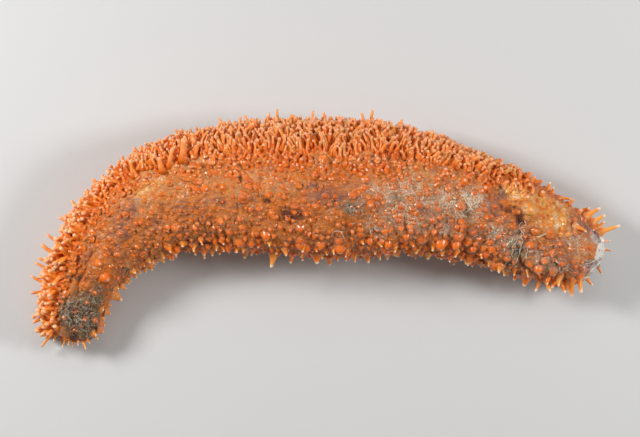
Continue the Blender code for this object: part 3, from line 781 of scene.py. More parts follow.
class CucumberSizes(bpy.types.PropertyGroup):
    """Sizes of what grows on the skin."""

    foot_pitch: length_value("Foot spacing", "Distance between tube feet", 1.3 * MM)
    foot_length: length_value("Foot length", "Length of the tube feet in mid body", 4.4 * MM)
    foot_thickness: length_value("Foot thickness", "Radius of a tube foot's shaft", 0.43 * MM)
    wart_pitch: length_value("Wart spacing", "Distance between warts", 2.8 * MM)
    wart_size: length_value("Wart size", "Radius of a wart at its base", 0.78 * MM)
    grain_pitch: length_value("Grain spacing", "Distance between the finest warts", 2.3 * MM)
    cone_thickness: length_value("Papilla thickness", "Radius of a papilla's neck", 0.5 * MM)
    thread_thickness: length_value("Thread thickness", "Radius of a clinging thread", 0.075 * MM)


class CucumberColours(bpy.types.PropertyGroup):
    """Colours of the flesh and its markings."""

    flesh: colour_value("Flesh", "Orange of the flanks", (0.76, 0.21, 0.024))
    peach: colour_value("Peach", "Smooth pale skin", (0.87, 0.365, 0.115))
    # deep also paints the shade in the skin's sunk creases
    deep: colour_value("Deep", "Dark specks and folds", (0.30, 0.05, 0.006))
    # root also paints in part the shade that falls between the crowded feet
    root: colour_value("Root", "Skin between the feet", (0.66, 0.13, 0.004))
    vivid: colour_value("Vivid", "Bright orange of cones and patches", (0.92, 0.19, 0.003))
    wart: colour_value("Wart", "Deep orange of the warts", (0.68, 0.118, 0.002))
    glow: colour_value("Glow", "Yellow light patches", (1.0, 0.47, 0.09))
    foot: colour_value("Foot", "Shafts of the tube feet", (0.88, 0.32, 0.09))
    # tip also paints glints and highlights on warts and skin, and in part rim light on the front
    # feet and the papillae
    tip: colour_value("Tip", "Tips of feet and papillae", (0.96, 0.78, 0.60))
    dusk: colour_value("Dusk", "Dark maroon blotches", (0.075, 0.018, 0.014))
    mauve: colour_value("Mauve", "Purple-grey patches", (0.245, 0.112, 0.09))
    fuzz: colour_value("Fuzz", "Grey-brown fuzz on the skin", (0.165, 0.115, 0.06))
    bloom: colour_value("Bloom", "Pale tan mottling", (0.56, 0.36, 0.21))
    frost: colour_value("Frost", "Whitish fibres and flecks", (0.93, 0.84, 0.66))
    cap: colour_value("Cap", "Pale skin round the vent", (0.93, 0.88, 0.80))


class CucumberStage(bpy.types.PropertyGroup):
    """The floor, the lights and the camera."""

    floor_size: length_value("Floor size", "Width of the floor", 6.0)
    camera_height: length_value("Camera height", "Height of the camera over the floor", 1.5)
    key_power: bpy.props.FloatProperty(
        name="Side light", description="Power of each side light", default=1.5, min=0, unit="POWER"
    )
    fill_power: bpy.props.FloatProperty(
        name="Top light", description="Power of the top light", default=0.9, min=0, unit="POWER"
    )
    sky: bpy.props.FloatProperty(
        name="Sky", description="Strength of the even light from all round", default=0.2, min=0
    )


# Finishes


class Amount:
    """A number on a socket. Sums, differences and products of it add Math nodes."""

    def __init__(self, finish, socket):
        self.finish = finish
        self.socket = socket

    def _with(self, operation, first, second):
        node = self.finish.node("ShaderNodeMath", {"operation": operation}, {0: first, 1: second})
        return Amount(self.finish, node.outputs[0])

    def __add__(self, other):
        return self._with("ADD", self, other)

    __radd__ = __add__

    def __sub__(self, other):
        return self._with("SUBTRACT", self, other)

    def __rsub__(self, other):
        return self._with("SUBTRACT", other, self)

    def __mul__(self, other):
        return self._with("MULTIPLY", self, other)

    __rmul__ = __mul__


class Finish:
    """One material, built node by node."""

    def __init__(self, name):
        self.material = bpy.data.materials.new(name)
        self.material.use_nodes = True
        self.tree = self.material.node_tree
        self.tree.nodes.clear()
        self.place = self.node("ShaderNodeTexCoord").outputs["Object"]

    def node(self, kind, settings=None, inputs=None):
        """A node with its settings, then the values or links of its sockets."""
        node = self.tree.nodes.new(kind)
        for key, value in (settings or {}).items():
            setattr(node, key, value)
        for key, value in (inputs or {}).items():
            source = getattr(value, "socket", value)
            if isinstance(source, bpy.types.NodeSocket):
                self.tree.links.new(source, node.inputs[key])
            else:
                node.inputs[key].default_value = source
        return node

    def field(self, name):
        """A named value of the mesh."""
        node = self.node("ShaderNodeAttribute", {"attribute_name": name})
        return Amount(self, node.outputs["Fac"])

    def noise(self, size, detail=3.0, roughness=0.55, stretch=None):
        """Noise whose features are about a size in metres, longer along the axes of stretch."""
        place = self.place
        if stretch:
            mapped = self.node("ShaderNodeMapping", None, {"Vector": place, "Scale": stretch})
            place = mapped.outputs[0]
        inputs = {"Vector": place, "Scale": 1 / size, "Detail": detail, "Roughness": roughness}
        return Amount(self, self.node("ShaderNodeTexNoise", None, inputs).outputs[0])

    def cell_edges(self, size):
        """Distance to the nearest edge between cells about a size across, over that size."""
        inputs = {"Vector": self.place, "Scale": 1 / size}
        node = self.node("ShaderNodeTexVoronoi", {"feature": "DISTANCE_TO_EDGE"}, inputs)
        return Amount(self, node.outputs["Distance"])

    def between(self, value, low, high):
        """0 below low, 1 above high, smooth between."""
        node = self.node(
            "ShaderNodeMapRange",
            {"interpolation_type": "SMOOTHSTEP"},
            {"Value": value, "From Min": low, "From Max": high},
        )
        return Amount(self, node.outputs["Result"])

    def mix(self, first, second, factor):
        """Two colours mixed by a factor."""
        first, second = (
            (*colour, 1.0) if isinstance(colour, tuple) else colour for colour in (first, second)
        )
        inputs = {0: factor, 6: first, 7: second}
        return self.node("ShaderNodeMix", {"data_type": "RGBA"}, inputs).outputs[2]

    def layers(self, colour, *coats):
        """A colour with others laid over it in turn, each by its own amount."""
        for over, amount in coats:
            colour = self.mix(colour, over, amount)
        return colour

    def bump(self, height, distance, strength):
        """A normal from a height."""
        inputs = {"Height": height, "Distance": distance, "Strength": strength}
        return self.node("ShaderNodeBump", None, inputs).outputs[0]

    def surface(self, inputs):
        """The shader itself, joined to the output."""
        shader = self.node("ShaderNodeBsdfPrincipled", None, inputs)
        self.node("ShaderNodeOutputMaterial", None, {"Surface": shader.outputs[0]})
        return self.material


def colours_of(context):
    """The colours that a user set, as plain tuples by name."""
    group = context.scene.cucumber_colours
    names = CucumberColours.__annotations__
    return namedtuple("Colours", names)(*(tuple(getattr(group, name)) for name in names))


def flesh_colour(finish, tint):
    """Colour of the skin: orange clouded with peach and with specks both ways, painted shade in the
    sunk creases and in a ring round the foot of each wart, pale flecks that are partly painted
    glints, the skin between the feet darker in part as painted shade, then each marking with an
    edge that the noise breaks up, cream spots in the yellow patches that are partly painted
    highlights, a pale net and flecks in the fuzz, and a pale cap at the vent that is partly painted
    rim light."""
    between = finish.between
    cloud, grain = finish.noise(5 * MM, 4, 0.6), finish.noise(1.3 * MM, 5, 0.65)
    speck, streak = finish.noise(0.4 * MM, 3, 0.7), finish.noise(1.1 * MM, 4, 0.6, (0.3, 1, 1))
    marks = {name: finish.field(name) for name in (*MARKINGS, "feet", "wart", "pit", "fold")}
    rough = grain * 0.6 + speck * 0.5 - 0.55
    wart, fuzzy = marks["wart"], marks["fuzz"]
    clouded = between(cloud * 0.8 + grain * 0.6 + marks["pale"] * 0.45, 0.62, 1.2)
    # dark specks of the skin, and painted shade where the skin sinks into creases
    specks_and_crease_shade = between(rough * -1.0 + marks["fold"] * 0.2, 0.02, 0.3)
    vivid = between(marks["vivid"] + rough * 1.6, 0.2, 1.0)
    swollen = between(wart + rough * 0.9, 0.5, 1.05)
    glow = between(marks["glow"] + rough * 1.8 - wart * 0.3, 0.15, 1.1)
    patch = finish.noise(2.4 * MM, 3, 0.5) + rough * 0.4
    # painted shade, in mauve, in a ring round the foot of each wart
    ring_shade = between(cloud + rough * 1.2, 0.36, 0.7) * marks["pit"]
    mauve = between(marks["mauve"] + rough + (streak - 0.5) * 2.4, 0.15, 0.95)
    bloom = between(marks["bloom"] + rough * 2.2 + (streak - 0.5) * 1.2, 0.3, 1.3)
    veil = between(marks["bloom"], 0.15, 1.0) * (1 - wart * 0.6)
    thick = between(fuzzy, 0.8, 1.5)
    net = 1 - between(finish.cell_edges(1.5 * MM) + rough * 0.9, -0.02, 0.12)
    flecks = between(speck, 0.56, 0.7) * 0.4 + net * (0.2 + thick * 0.35)
    shell = finish.mix(tint.cap, tint.mauve, between(grain + speck * 0.4, 0.68, 0.86) * 0.7)
    window = between(marks["window"] + rough * 1.2, 0.3, 0.8)
    dusk = between(marks["dusk"] + rough * 1.8 + (streak - 0.5) * 1.6, 0.25, 0.95)
    colour = finish.layers(
        tint.flesh,
        (tint.peach, clouded),
        (tint.deep, specks_and_crease_shade * (0.62 - marks["pale"] * 0.3)),
        (tint.vivid, vivid * 0.75),
        (tint.wart, swollen * 0.6),
        (tint.glow, glow * 0.92),
        (tint.vivid, glow * between(patch, 0.47, 0.6) * 0.9),
        # cream spots in the yellow patches: partly pale mottling, partly painted highlights
        (tint.tip, glow * between(patch - speck * 0.4, 0.28, 0.14) * 0.6),
        # the skin between the feet, darker orange: partly its own colour, partly painted shade
        # between the feet
        (tint.root, marks["feet"] * 0.75),
        # pale flecks: partly the skin's pale specks, partly painted glints of the wet skin
        (tint.tip, between(speck + grain * 0.3, 0.68, 0.84) * 0.5),
        (tint.mauve, ring_shade * 0.5),
        (tint.mauve, mauve * (0.85 - wart * 0.4)),
        (tint.bloom, bloom * (0.75 - wart * 0.5)),
        (tint.dusk, veil * between(rough, -0.03, -0.18) * 0.55),
        # pale streaky flecks in the tan mottling: partly pale specks, partly painted highlights
        # along the wrinkles
        (tint.tip, between(speck + streak * 0.4, 0.65, 0.79) * veil * 0.85),
        (tint.fuzz, between(fuzzy + rough * 2.2, 0.2, 0.95) * (0.85 - wart * 0.4)),
        (tint.dusk, thick * between(grain, 0.38, 0.6) * 0.7),
        (tint.frost, flecks * between(fuzzy, 0.2, 1.1) * 0.7),
        # the pale cap at the vent, partly painted rim light
        (shell, between(marks["cap"] + rough * 0.8, 0.25, 0.8)),
        (tint.mauve, window * 0.9),
        (tint.cap, window * (net * 0.7 + between(speck, 0.56, 0.66) * 0.5)),
        (tint.dusk, dusk * 0.85),
    )
    return colour, marks, grain, speck


def wet(inputs):
    """The sockets that all wet flesh shares, with more or other ones."""
    return {
        "Subsurface Weight": 0.25,
        "Subsurface Radius": (1.0, 0.28, 0.06),
        "Subsurface Scale": 1.3 * MM,
        "Coat Weight": 0.7,
        "Coat Roughness": 0.08,
        "Coat IOR": 1.42,
        "Specular IOR Level": 0.16,
        **inputs,
    }


def flesh(finish, colour, rough, height, distance, strength, **more):
    """Wet flesh of a colour and roughness, with the bump of a height."""
    normal = finish.bump(height, distance, strength)
    return finish.surface(wet({"Base Color": colour, "Roughness": rough, "Normal": normal, **more}))


def skin_finish(tint):
    """Wet skin: the flesh's colour, rougher in the fuzz, with grain and fine creases."""
    finish = Finish("wet_skin")
    colour, marks, grain, speck = flesh_colour(finish, tint)
    height = grain * 1.1 + speck * 0.5 + finish.noise(0.8 * MM, 3, 0.6, (0.35, 1, 1)) * 0.7
    height = height + finish.noise(0.25 * MM, 2) * marks["fuzz"] * 0.6
    rough = 0.45 + grain * 0.2 + finish.between(marks["fuzz"], 0.2, 0.9) * 0.2
    coat = {"Coat Weight": 0.22, "Coat Roughness": 0.16}
    return flesh(finish, colour, rough, height, 0.85 * MM, 1.0, **coat)


def wart_finish(tint):
    """Warts: the skin's own colour at the root, more vivid above, and a painted glint, pale, at
    some tips.
    """
    finish = Finish("warty_skin")
    colour, marks, grain, speck = flesh_colour(finish, tint)
    tip, chance, between = finish.field("tip"), finish.field("chance"), finish.between
    bright = finish.layers(
        tint.wart,
        (tint.vivid, between(chance + grain - 0.5, 0.3, 0.9) * 0.8),
        (tint.glow, between(marks["glow"], 0.2, 1.0) * 0.6),
    )
    amount = between(tip + chance * 0.25, 0.0, 0.6) * (1 - marks["cap"] * 0.6)
    amount = amount * (1 - between(marks["fuzz"] + marks["mauve"] * 0.5, 0.3, 1.6) * 0.5)
    # a painted glint: a pale spot at the top of warts with a high chance
    pale = between(tip, 0.8, 1.0) * between(chance, 0.35, 0.8) * 0.6
    colour = finish.layers(
        colour, (bright, amount * finish.field("colour") * 0.85), (tint.tip, pale)
    )
    height = grain * 0.9 + speck * 0.4
    return flesh(finish, colour, 0.34 + grain * 0.2, height, 0.4 * MM, 0.5, **{"Coat Weight": 1.0})


def foot_finish(tint):
    """Tube feet: saturated orange at the root, darker in part as painted shade between the crowded
    feet, shafts of peach, salmon or orange that differ from foot to foot, and paler tips; more
    vivid on the front end's feet, where the yellow and the paler tips partly paint the side light
    from the left and darker patches partly paint the shade between them."""
    finish = Finish("foot_skin")
    tip, chance, left = finish.field("tip"), finish.field("chance"), finish.field("left")
    grain, cloud = finish.noise(0.9 * MM, 4, 0.6), finish.noise(7 * MM, 3)
    between = finish.between
    shaft = finish.layers(
        tint.foot,
        (tint.peach, between(chance + cloud - 0.5, 0.15, 0.85)),
        (tint.vivid, between(chance * 0.6 + cloud + grain * 0.3, 0.75, 1.25) * 0.7),
        (tint.vivid, left * between(grain + chance * 0.4, 0.35, 0.8) * 0.8),
        # yellow on the front feet: partly their own colour, partly painted light of the strong side
        # light from the left
        (tint.glow, left * between(chance + grain, 0.4, 1.3) * 0.4),
    )
    grey = finish.field("fuzz") + finish.field("mauve") * 0.6
    # darker orange at each foot's root: partly its own colour, partly painted shade between the
    # crowded feet
    colour = finish.layers(
        tint.root,
        (shaft, between(tip + grain * 0.3, 0.08, 0.6)),
        # dark patches on the feet, more on the front feet, where they partly paint the shade
        # between the feet
        (tint.deep, between(grain, 0.56, 0.8) * (0.22 + left * 0.3)),
        # pale tips: the feet's own pale tips, paler on the front feet as painted rim light
        (tint.tip, between(tip, 0.7, 1.0) * (0.12 + left * 0.1 + chance * 0.3)),
        (tint.mauve, between(grey, 0.3, 1.2) * 0.35),
    )
    soft = {"Subsurface Weight": 0.4, "Coat Weight": 0.35}
    return flesh(finish, colour, 0.42 + grain * 0.2, grain, 0.25 * MM, 0.6, **soft)


def cone_finish(tint):
    """Papillae: the skin's colour at the foot, orange shafts and white tips, partly pale and partly
    painted rim light.
    """
    finish = Finish("papilla_skin")
    colour, marks, grain, speck = flesh_colour(finish, tint)
    tip, chance, between = finish.field("tip"), finish.field("chance"), finish.between
    bright = finish.mix(tint.vivid, tint.glow, between(chance + grain * 0.3, 0.2, 1.2) * 0.75)
    colour = finish.layers(
        colour,
        (bright, between(tip, 0.0, 0.35) * 0.9),
        # white tips: partly pale tips, partly painted rim light
        (tint.tip, between(tip + grain * 0.1, 0.78, 1.0) * 0.9),
    )
    height = grain * 0.6 + speck * 0.3
    return flesh(finish, colour, 0.28 + grain * 0.14, height, 0.2 * MM, 0.5)


def thread_finish(tint):
    """Threads and fibres: whitish, tinged with the fuzz."""
    finish = Finish("pale_thread")
    chance, grain = finish.field("chance"), finish.noise(1.5 * MM, 3)
    colour = finish.layers(
        tint.frost,
        (tint.fuzz, finish.between(chance * 0.7 + grain * 0.5, 0.4, 1.1)),
        (tint.peach, finish.between(grain, 0.55, 0.75) * 0.5),
        (tint.fuzz, finish.field("left") * (0.35 + chance * 0.5)),
    )
    return flesh(finish, colour, 0.5 + grain * 0.1, grain, 0.05 * MM, 0.3)


def floor_finish():
    """Pale matt floor with the faintest cloud."""
    finish = Finish("pale_floor")
    cloud = finish.noise(0.25, 3)
    colour = finish.mix((0.60, 0.60, 0.595), (0.64, 0.64, 0.635), cloud)
    return finish.surface({"Base Color": colour, "Roughness": 0.75 + cloud * 0.05})


def settle(piece, material):
    """Gives a finished piece its material and its body."""
    piece.data.materials.append(material)
    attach(piece, "root")
    return piece


def draw(rng, low, high, count):
    """Random numbers between two bounds."""
    return rng.uniform(low, high, count)


# Domes: pixel across and down, radius over the usual wart's, height in millimetres, lean downwards
DOMES = (
    (267, 234, 1.9, 1.2, 0.5), (300, 243, 1.6, 1.1, 0.5), (306, 245, 1.7, 1.3, 0.5),
    (340, 245, 1.9, 1.4, 0.3), (369, 240, 1.3, 1.0, 0.5), (387, 241, 1.6, 1.3, 0.4),
    (440, 241, 2.2, 1.7, 0.3), (455, 243, 1.6, 1.2, 0.5), (473, 247, 1.2, 1.1, 0.5),
    (444, 176, 1.4, 1.1, 0.2), (463, 183, 1.5, 1.1, 0.2), (484, 190, 1.6, 1.2, 0.2),
    (415, 169, 1.2, 0.9, 0.2), (436, 180, 1.2, 0.9, 0.2), (485, 218, 1.1, 0.9, 0.2),
    (460, 222, 1.1, 0.8, 0.2), (529, 244, 1.5, 1.1, 0.3), (538, 266, 1.7, 1.3, 0.3),
    (527, 212, 1.5, 1.0, 0.2), (544, 260, 1.2, 0.9, 0.3), (409, 226, 1.1, 0.9, 0.3),
    (401, 227, 1.1, 0.9, 0.3), (240, 240, 1.7, 1.1, 0.5), (176, 247, 1.6, 1.2, 0.6),
    (216, 240, 1.2, 0.9, 0.5), (105, 276, 2.3, 1.6, 0.4), (100, 262, 1.5, 0.9, 0.2),
    (84, 319, 1.0, 0.8, 0.0), (154, 166, 1.6, 1.0, -0.5), (345, 167, 1.2, 1.2, -0.2),
    (272, 184, 1.2, 0.7, 0.2), (330, 180, 1.1, 0.7, 0.1), (360, 176, 1.1, 0.7, 0.1),
    (558, 244, 1.1, 0.8, 0.2),
)

# Cones in the outline of the back: pixel of the tip, radius over the usual one's
EDGE_CONES = (
    ((152, 268), 1.0), ((155, 263), 0.9), ((164, 261), 1.1), ((172, 257), 1.0), ((205, 255), 0.9),
    ((213, 253), 0.8), ((220, 253), 0.9), ((245, 256), 1.1), ((252, 256), 0.8), ((273, 266), 1.15),
    ((292, 261), 0.8), ((302, 260), 0.9), ((317, 261), 1.4), ((329, 260), 1.0), ((346, 258), 0.8),
    ((354, 259), 0.8), ((366, 262), 1.3), ((387, 258), 1.1), ((395, 255), 0.8), ((411, 256), 0.9),
    ((421, 255), 0.8), ((437, 256), 1.1), ((450, 256), 0.9), ((455, 259), 0.8), ((482, 265), 0.9),
    ((486, 266), 0.8), ((491, 270), 1.0), ((499, 268), 0.9), ((504, 274), 1.0), ((515, 278), 0.9),
    ((524, 285), 1.5), ((121, 299), 1.5), ((108, 313), 0.9), ((103, 325), 1.1), ((101, 331), 1.3),
)

# Cones that lean: pixels of the root and of the tip, and radius over the usual one's
LEANING_CONES = (
    ((582, 211), (591, 208), 0.95), ((587, 217), (601, 208), 1.1), ((593, 222), (606, 215), 1.05),
    ((599, 228), (605, 221), 0.95), ((600, 232), (621, 225.5), 1.1), ((541, 279), (536, 292), 0.95),
    ((547, 280), (551, 292), 1.15), ((562, 281), (566, 293), 1.0), ((572, 280), (572, 297), 1.25),
    ((580, 279), (582, 293), 1.2), ((588, 278), (594, 286), 0.9), ((604, 241), (611, 241), 0.6),
    ((606, 250), (613, 251), 0.5), ((600, 268), (603, 275), 0.6), ((576, 227), (586, 232), 0.9),
    ((565, 192), (573, 199.5), 0.8), ((548, 190), (551, 182), 0.9), ((553, 192), (554.5, 187), 0.8),
    ((55, 335), (52, 342), 0.5), ((60, 338), (58, 344), 0.4), ((64, 340), (61, 348), 0.5),
    ((68, 340), (67, 346), 0.35), ((72, 341), (71, 348), 0.45), ((77, 341), (77, 346), 0.35),
    ((82, 341), (85, 350), 0.6), ((86, 339), (89, 344), 0.5), ((92, 335), (97, 340), 0.7),
)

# Large fleshy feet at the edge of the front flank: pixels of the root and of the tip, radius over
# the usual one's
LARGE_FEET = (
    ((185, 161), (185, 139), 2.1), ((155, 165), (156, 155), 2.6), ((164, 172), (160, 158), 1.6),
    ((172, 167), (174, 148), 1.4), ((196, 158), (200, 142), 1.3), ((209, 156), (206, 141), 1.2),
    ((178, 160), (176, 146), 1.2), ((136, 176), (131, 160), 1.5), ((146, 170), (143, 156), 1.3),
)

# Tube feet that stand out in the outline: pixel of the tip, thickness over the usual one
TALL_FEET = (
    ((280, 111), 1.0), ((311, 110), 1.0), ((365, 113), 1.0), ((370, 112), 1.1), ((45, 233), 1.0),
    ((39.6, 247), 1.5), ((37, 258), 1.0), ((36.5, 264), 1.0), ((29, 279), 1.1), ((31, 288), 1.1),
    ((36, 302), 1.0), ((35, 324), 1.1), ((38, 329), 0.9), ((61, 214), 1.0), ((72, 202), 1.0),
    ((96, 176), 1.1), ((120, 159), 1.0), ((137, 147), 1.2), ((224, 120), 1.0), ((240, 117), 1.0),
    ((250, 118), 1.0), ((268, 114), 1.0), ((294, 115), 1.0), ((325, 114), 0.9), ((340, 115), 0.9),
    ((356, 116), 0.9), ((398, 122), 1.1), ((431, 131), 0.9), ((472, 148), 1.0), ((520, 168), 1.1),
)


def tips_to_roots(pixels, side):
    """Places of the roots of pieces whose tips stand over the outline at pixels, and how far each
    tip is from the skin. side is 1 on the sole and -1 on the back."""
    plan = from_picture(pixels)
    away = np.linalg.norm(plan[:, None, :] - BODY.line[None, :, :], axis=-1)
    nearest = away.argmin(1)
    s = np.clip(BODY.s[nearest], 0.4 * MM, BODY.length - 0.4 * MM)
    reach = away.min(1) - BODY.width(s)
    phi = np.full(len(s), 0.0 if side > 0 else math.pi)
    return s, phi, np.maximum(reach, 0.5 * MM)


# Lengths in which the tube feet are joined: name, and shares of the centreline
FOOT_REGIONS = (
    ("front", 0.0, 0.27), ("mid_front", 0.27, 0.43), ("mid_rear", 0.43, 0.6), ("rear", 0.6, 1.01),
)

WART_START = math.radians(7)  # angle past the edge of the band of feet where the warts begin
BACK_GAP = 0.05  # half the angle that the warts leave free in the middle of the back
FLANK_JITTER = 0.45

# Length of the tube feet over the full one: share of the centreline, and factor
FOOT_LENGTHS = (
    (0.0, 0.8), (0.07, 1.12), (0.16, 1.05), (0.22, 0.72), (0.32, 0.76), (0.42, 0.92), (0.5, 1.05),
    (0.6, 1.0), (0.7, 0.66), (0.8, 0.46), (1.0, 0.42),
)


def sole_edge_at(s):
    """Half angle of the band of feet at one place."""
    return float(BODY.sole_edge(np.array([s]), np.zeros(1))[0])


def both_flanks(rng, reach, pitch, start=WART_START, width=None):
    """A scatter over each flank, from an angle past the edge of the band of feet on, as wide as
    said or as far as the middle of the back."""
    found = []
    for side in (1, -1):

        def edges(s):
            low = sole_edge_at(s)
            high = math.pi - BACK_GAP if width is None else low + width
            pair = (low + start, high)
            return pair if side > 0 else (-pair[1], -pair[0])

        found.append(scatter(rng, reach, edges, pitch, FLANK_JITTER))
    return tuple(np.concatenate(part) for part in zip(*found))


def tube_feet(sizes):
    """Tube feet of the sole as four joined meshes from front to rear. Neighbours lean
    together, as one slow noise says, each a little its own way, and all but those of the front
    end flop towards the middle of the sole."""
    rng = np.random.default_rng(5)

    def edges(s):
        return -sole_edge_at(s), sole_edge_at(s)

    s, phi = scatter(rng, (1.2 * MM, BODY.length * 0.955), edges, sizes.foot_pitch, 0.42)
    share = s / BODY.length
    edge = from_sole(phi) / BODY.sole_edge(s, phi)
    here = markings(s, phi)
    gap = 0.42 * smooth(0.7, 0.79, share) + 0.5 * smooth(0.8, 0.87, share)
    gap += 0.6 * smooth(0.7, 1.2, here["fuzz"])
    s, phi, share, edge = keep(rng.random(len(s)) > gap, s, phi, share, edge)
    count = len(s)
    length = sizes.foot_length * draw(rng, 0.66, 1.1, count)
    length *= np.interp(share, *np.array(FOOT_LENGTHS).T)
    length *= 1 - 0.5 * smooth(0.8, 1.05, edge) * draw(rng, 0.2, 1.0, count)
    thick = sizes.foot_thickness * draw(rng, 0.8, 1.22, count)
    thick *= 1 + 0.35 * smooth(0.66, 0.76, share) + 0.42 * (1 - smooth(0.12, 0.3, share))
    flat = BODY.flat_map(s, phi)
    forward = 0.5 * Waves(6 * MM, 31)(flat) + draw(rng, -0.32, 0.32, count)
    forward += 0.6 * smooth(0.62, 0.8, share)
    flop = 0.95 * smooth(0.16, 0.4, share) * (1 - 0.4 * smooth(0.66, 0.9, share))
    sideways = -np.tan(np.clip(phi * flop, -1.12, 1.12))
    sideways += 0.3 * Waves(6 * MM, 32)(flat) + draw(rng, -0.3, 0.3, count)
    bend = (draw(rng, -0.5, 0.5, count), draw(rng, -0.42, 0.42, count))

    tips = np.array([tip for tip, _ in TALL_FEET])
    tall_s, tall_phi, reach = tips_to_roots(tips, 1)
    number = len(tips)
    s = join(s, tall_s)
    phi = join(phi, tall_phi + draw(rng, 0.0, 0.35, number))
    length = join(length, reach + 0.4 * MM)
    thick = join(thick, sizes.foot_thickness * np.array([size for _, size in TALL_FEET]))
    forward = join(forward, draw(rng, -0.12, 0.12, number))
    sideways = join(sideways, -phi[-number:])
    bend = tuple(join(b, draw(rng, -0.25, 0.25, number)) for b in bend)
    chance = rng.random(len(s))

    clear = BODY.tube(s, phi)[:, 2] > 0.5 * MM
    pieces = []
    for name, low, high in FOOT_REGIONS:
        mine = clear & (s / BODY.length >= low) & (s / BODY.length < high)
        picked = keep(mine, s, phi, length, thick, forward, sideways, bend[0], bend[1], chance)
        a, b, long, wide, lean_one, lean_two, bend_one, bend_two, luck = picked
        leans, bends = (lean_one, lean_two), (bend_one, bend_two)
        values = {"chance": luck}
        name = "tube_feet_" + name
        pieces.append(grow(name, a, b, FOOT_PROFILE, long, wide, leans, bends, FOOT_SIDES, values))
    pieces.append(aimed("large_feet", LARGE_FEET, FOOT_PROFILE, sizes.foot_thickness, rng))
    return pieces


def slanting(share, edge):
    """1 where the front flank's warts are drawn out into slanting ridges, 0 elsewhere. edge is the
    angle from the edge of the band of feet."""
    along = (1 - smooth(0.45, 0.52, share)) * smooth(0.24, 0.3, share)
    return along * (1 - smooth(0.6, 0.85, edge))


def wart_places(sizes):
    """Places, heights, radii, leans and stretches of all the warts: a scatter over both flanks and
    the back, long low ones that slant over the front flank, and the large ones listed."""
    rng = np.random.default_rng(8)
    s, phi = both_flanks(rng, (2.5 * MM, BODY.length - 4 * MM), sizes.wart_pitch)
    domes = np.array(DOMES)
    dome_s, dome_phi = BODY.place(domes[:, :2])
    dome_size = domes[:, 2]
    flat, dome_flat = BODY.flat_map(s, phi), BODY.flat_map(dome_s, dome_phi)
    away = np.linalg.norm(flat[:, None, :2] - dome_flat[None, :, :2], axis=-1)
    free = (away > dome_size * sizes.wart_size * 1.25).all(1)
    here, edge = markings(s, phi), from_sole(phi) - BODY.sole_edge(s, phi)
    wanted = 0.5 + 0.5 * smooth(0.25, 0.7, edge) - 0.3 * here["fuzz"] - 0.35 * here["pale"]
    share = s / BODY.length
    wanted -= here["cap"] + 0.5 * here["glow"] * smooth(0.7, 0.8, share)
    wanted += 0.35 * slanting(share, edge) - 0.2 * (1 - smooth(0.12, 0.18, share))
    s, phi = keep(free & (rng.random(len(s)) < np.maximum(wanted, 0.12)), s, phi)
    count = len(s)
    share = s / BODY.length
    turned = from_sole(phi)
    edge = turned - BODY.sole_edge(s, phi)
    size = rng.choice([0.5, 0.7, 0.9, 1.15, 1.45], count, p=[0.26, 0.32, 0.24, 0.13, 0.05])
    size = size * draw(rng, 0.85, 1.15, count) * (1 + 0.15 * smooth(2.0, 2.7, turned))
    height = size**0.7 * draw(rng, 0.5, 1.0, count) * (1 + 0.4 * smooth(1.8, 2.7, turned))
    height *= 1 - 0.6 * (1 - smooth(0.24, 0.34, share)) * smooth(2.0, 2.7, turned)
    height *= 0.72 * (1 - 0.2 * (1 - smooth(0.1, 0.3, edge)))
    size *= np.interp(share, (0.1, 0.3, 0.5, 0.7), (0.95, 0.92, 1.12, 1.25))
    long = (rng.random(count) < slanting(share, edge) * 0.8).astype(float)
    stretch = 1 + long * draw(rng, 0.7, 1.8, count)
    lean = 0.5 * smooth(0.9, 1.8, turned) + draw(rng, -0.3, 0.3, count)
    number = len(DOMES)
    return {
        "s": join(s, dome_s),
        "phi": join(phi, dome_phi),
        "size": join(size, dome_size),
        "height": join(height, domes[:, 3]) * MM,
        "lean": join(lean, domes[:, 4]),
        "stretch": join(stretch, np.ones(number)),
        "long": join(long, np.zeros(number)),
        "dome": join(np.zeros(count), np.ones(number)),
        # domes get a high chance, so that they are vivid and most carry the painted glint at the
        # tip
        "chance": join(rng.random(count), draw(rng, 0.6, 1.0, number)),
    }


def build_warts(places, sizes):
    """Warts and long ridges as joined meshes: each a low bell that starts square on the skin and
    leans over, the long ones drawn out along a slanting line."""
    rng = np.random.default_rng(9)
    clear = BODY.tube(places["s"], places["phi"])[:, 2] > 0.9 * MM
    keys = ("s", "phi", "size", "height", "lean", "stretch", "long", "chance")
    pieces = []
    for name, domes, profile in (("warts", False, WART_PROFILE), ("domes", True, DOME_PROFILE)):
        mine = clear & (places["dome"] == domes)
        s, phi, size, height, lean, stretch, long, chance = keep(mine, *(places[k] for k in keys))
        count = len(s)
        side = np.sign(phi) + (phi == 0)
        bend = (draw(rng, -0.35, 0.35, count), side * lean)
        values = {"chance": chance, "colour": 1 - 0.15 * long, "wart": np.ones(count)}
        pieces.append(
            grow(
                name, s, phi, profile, height, size * sizes.wart_size, still(count), bend,
                WART_SIDES, values, stretch, draw(rng, 0.35, 0.95, count) * side,
            )
        )
    return pieces


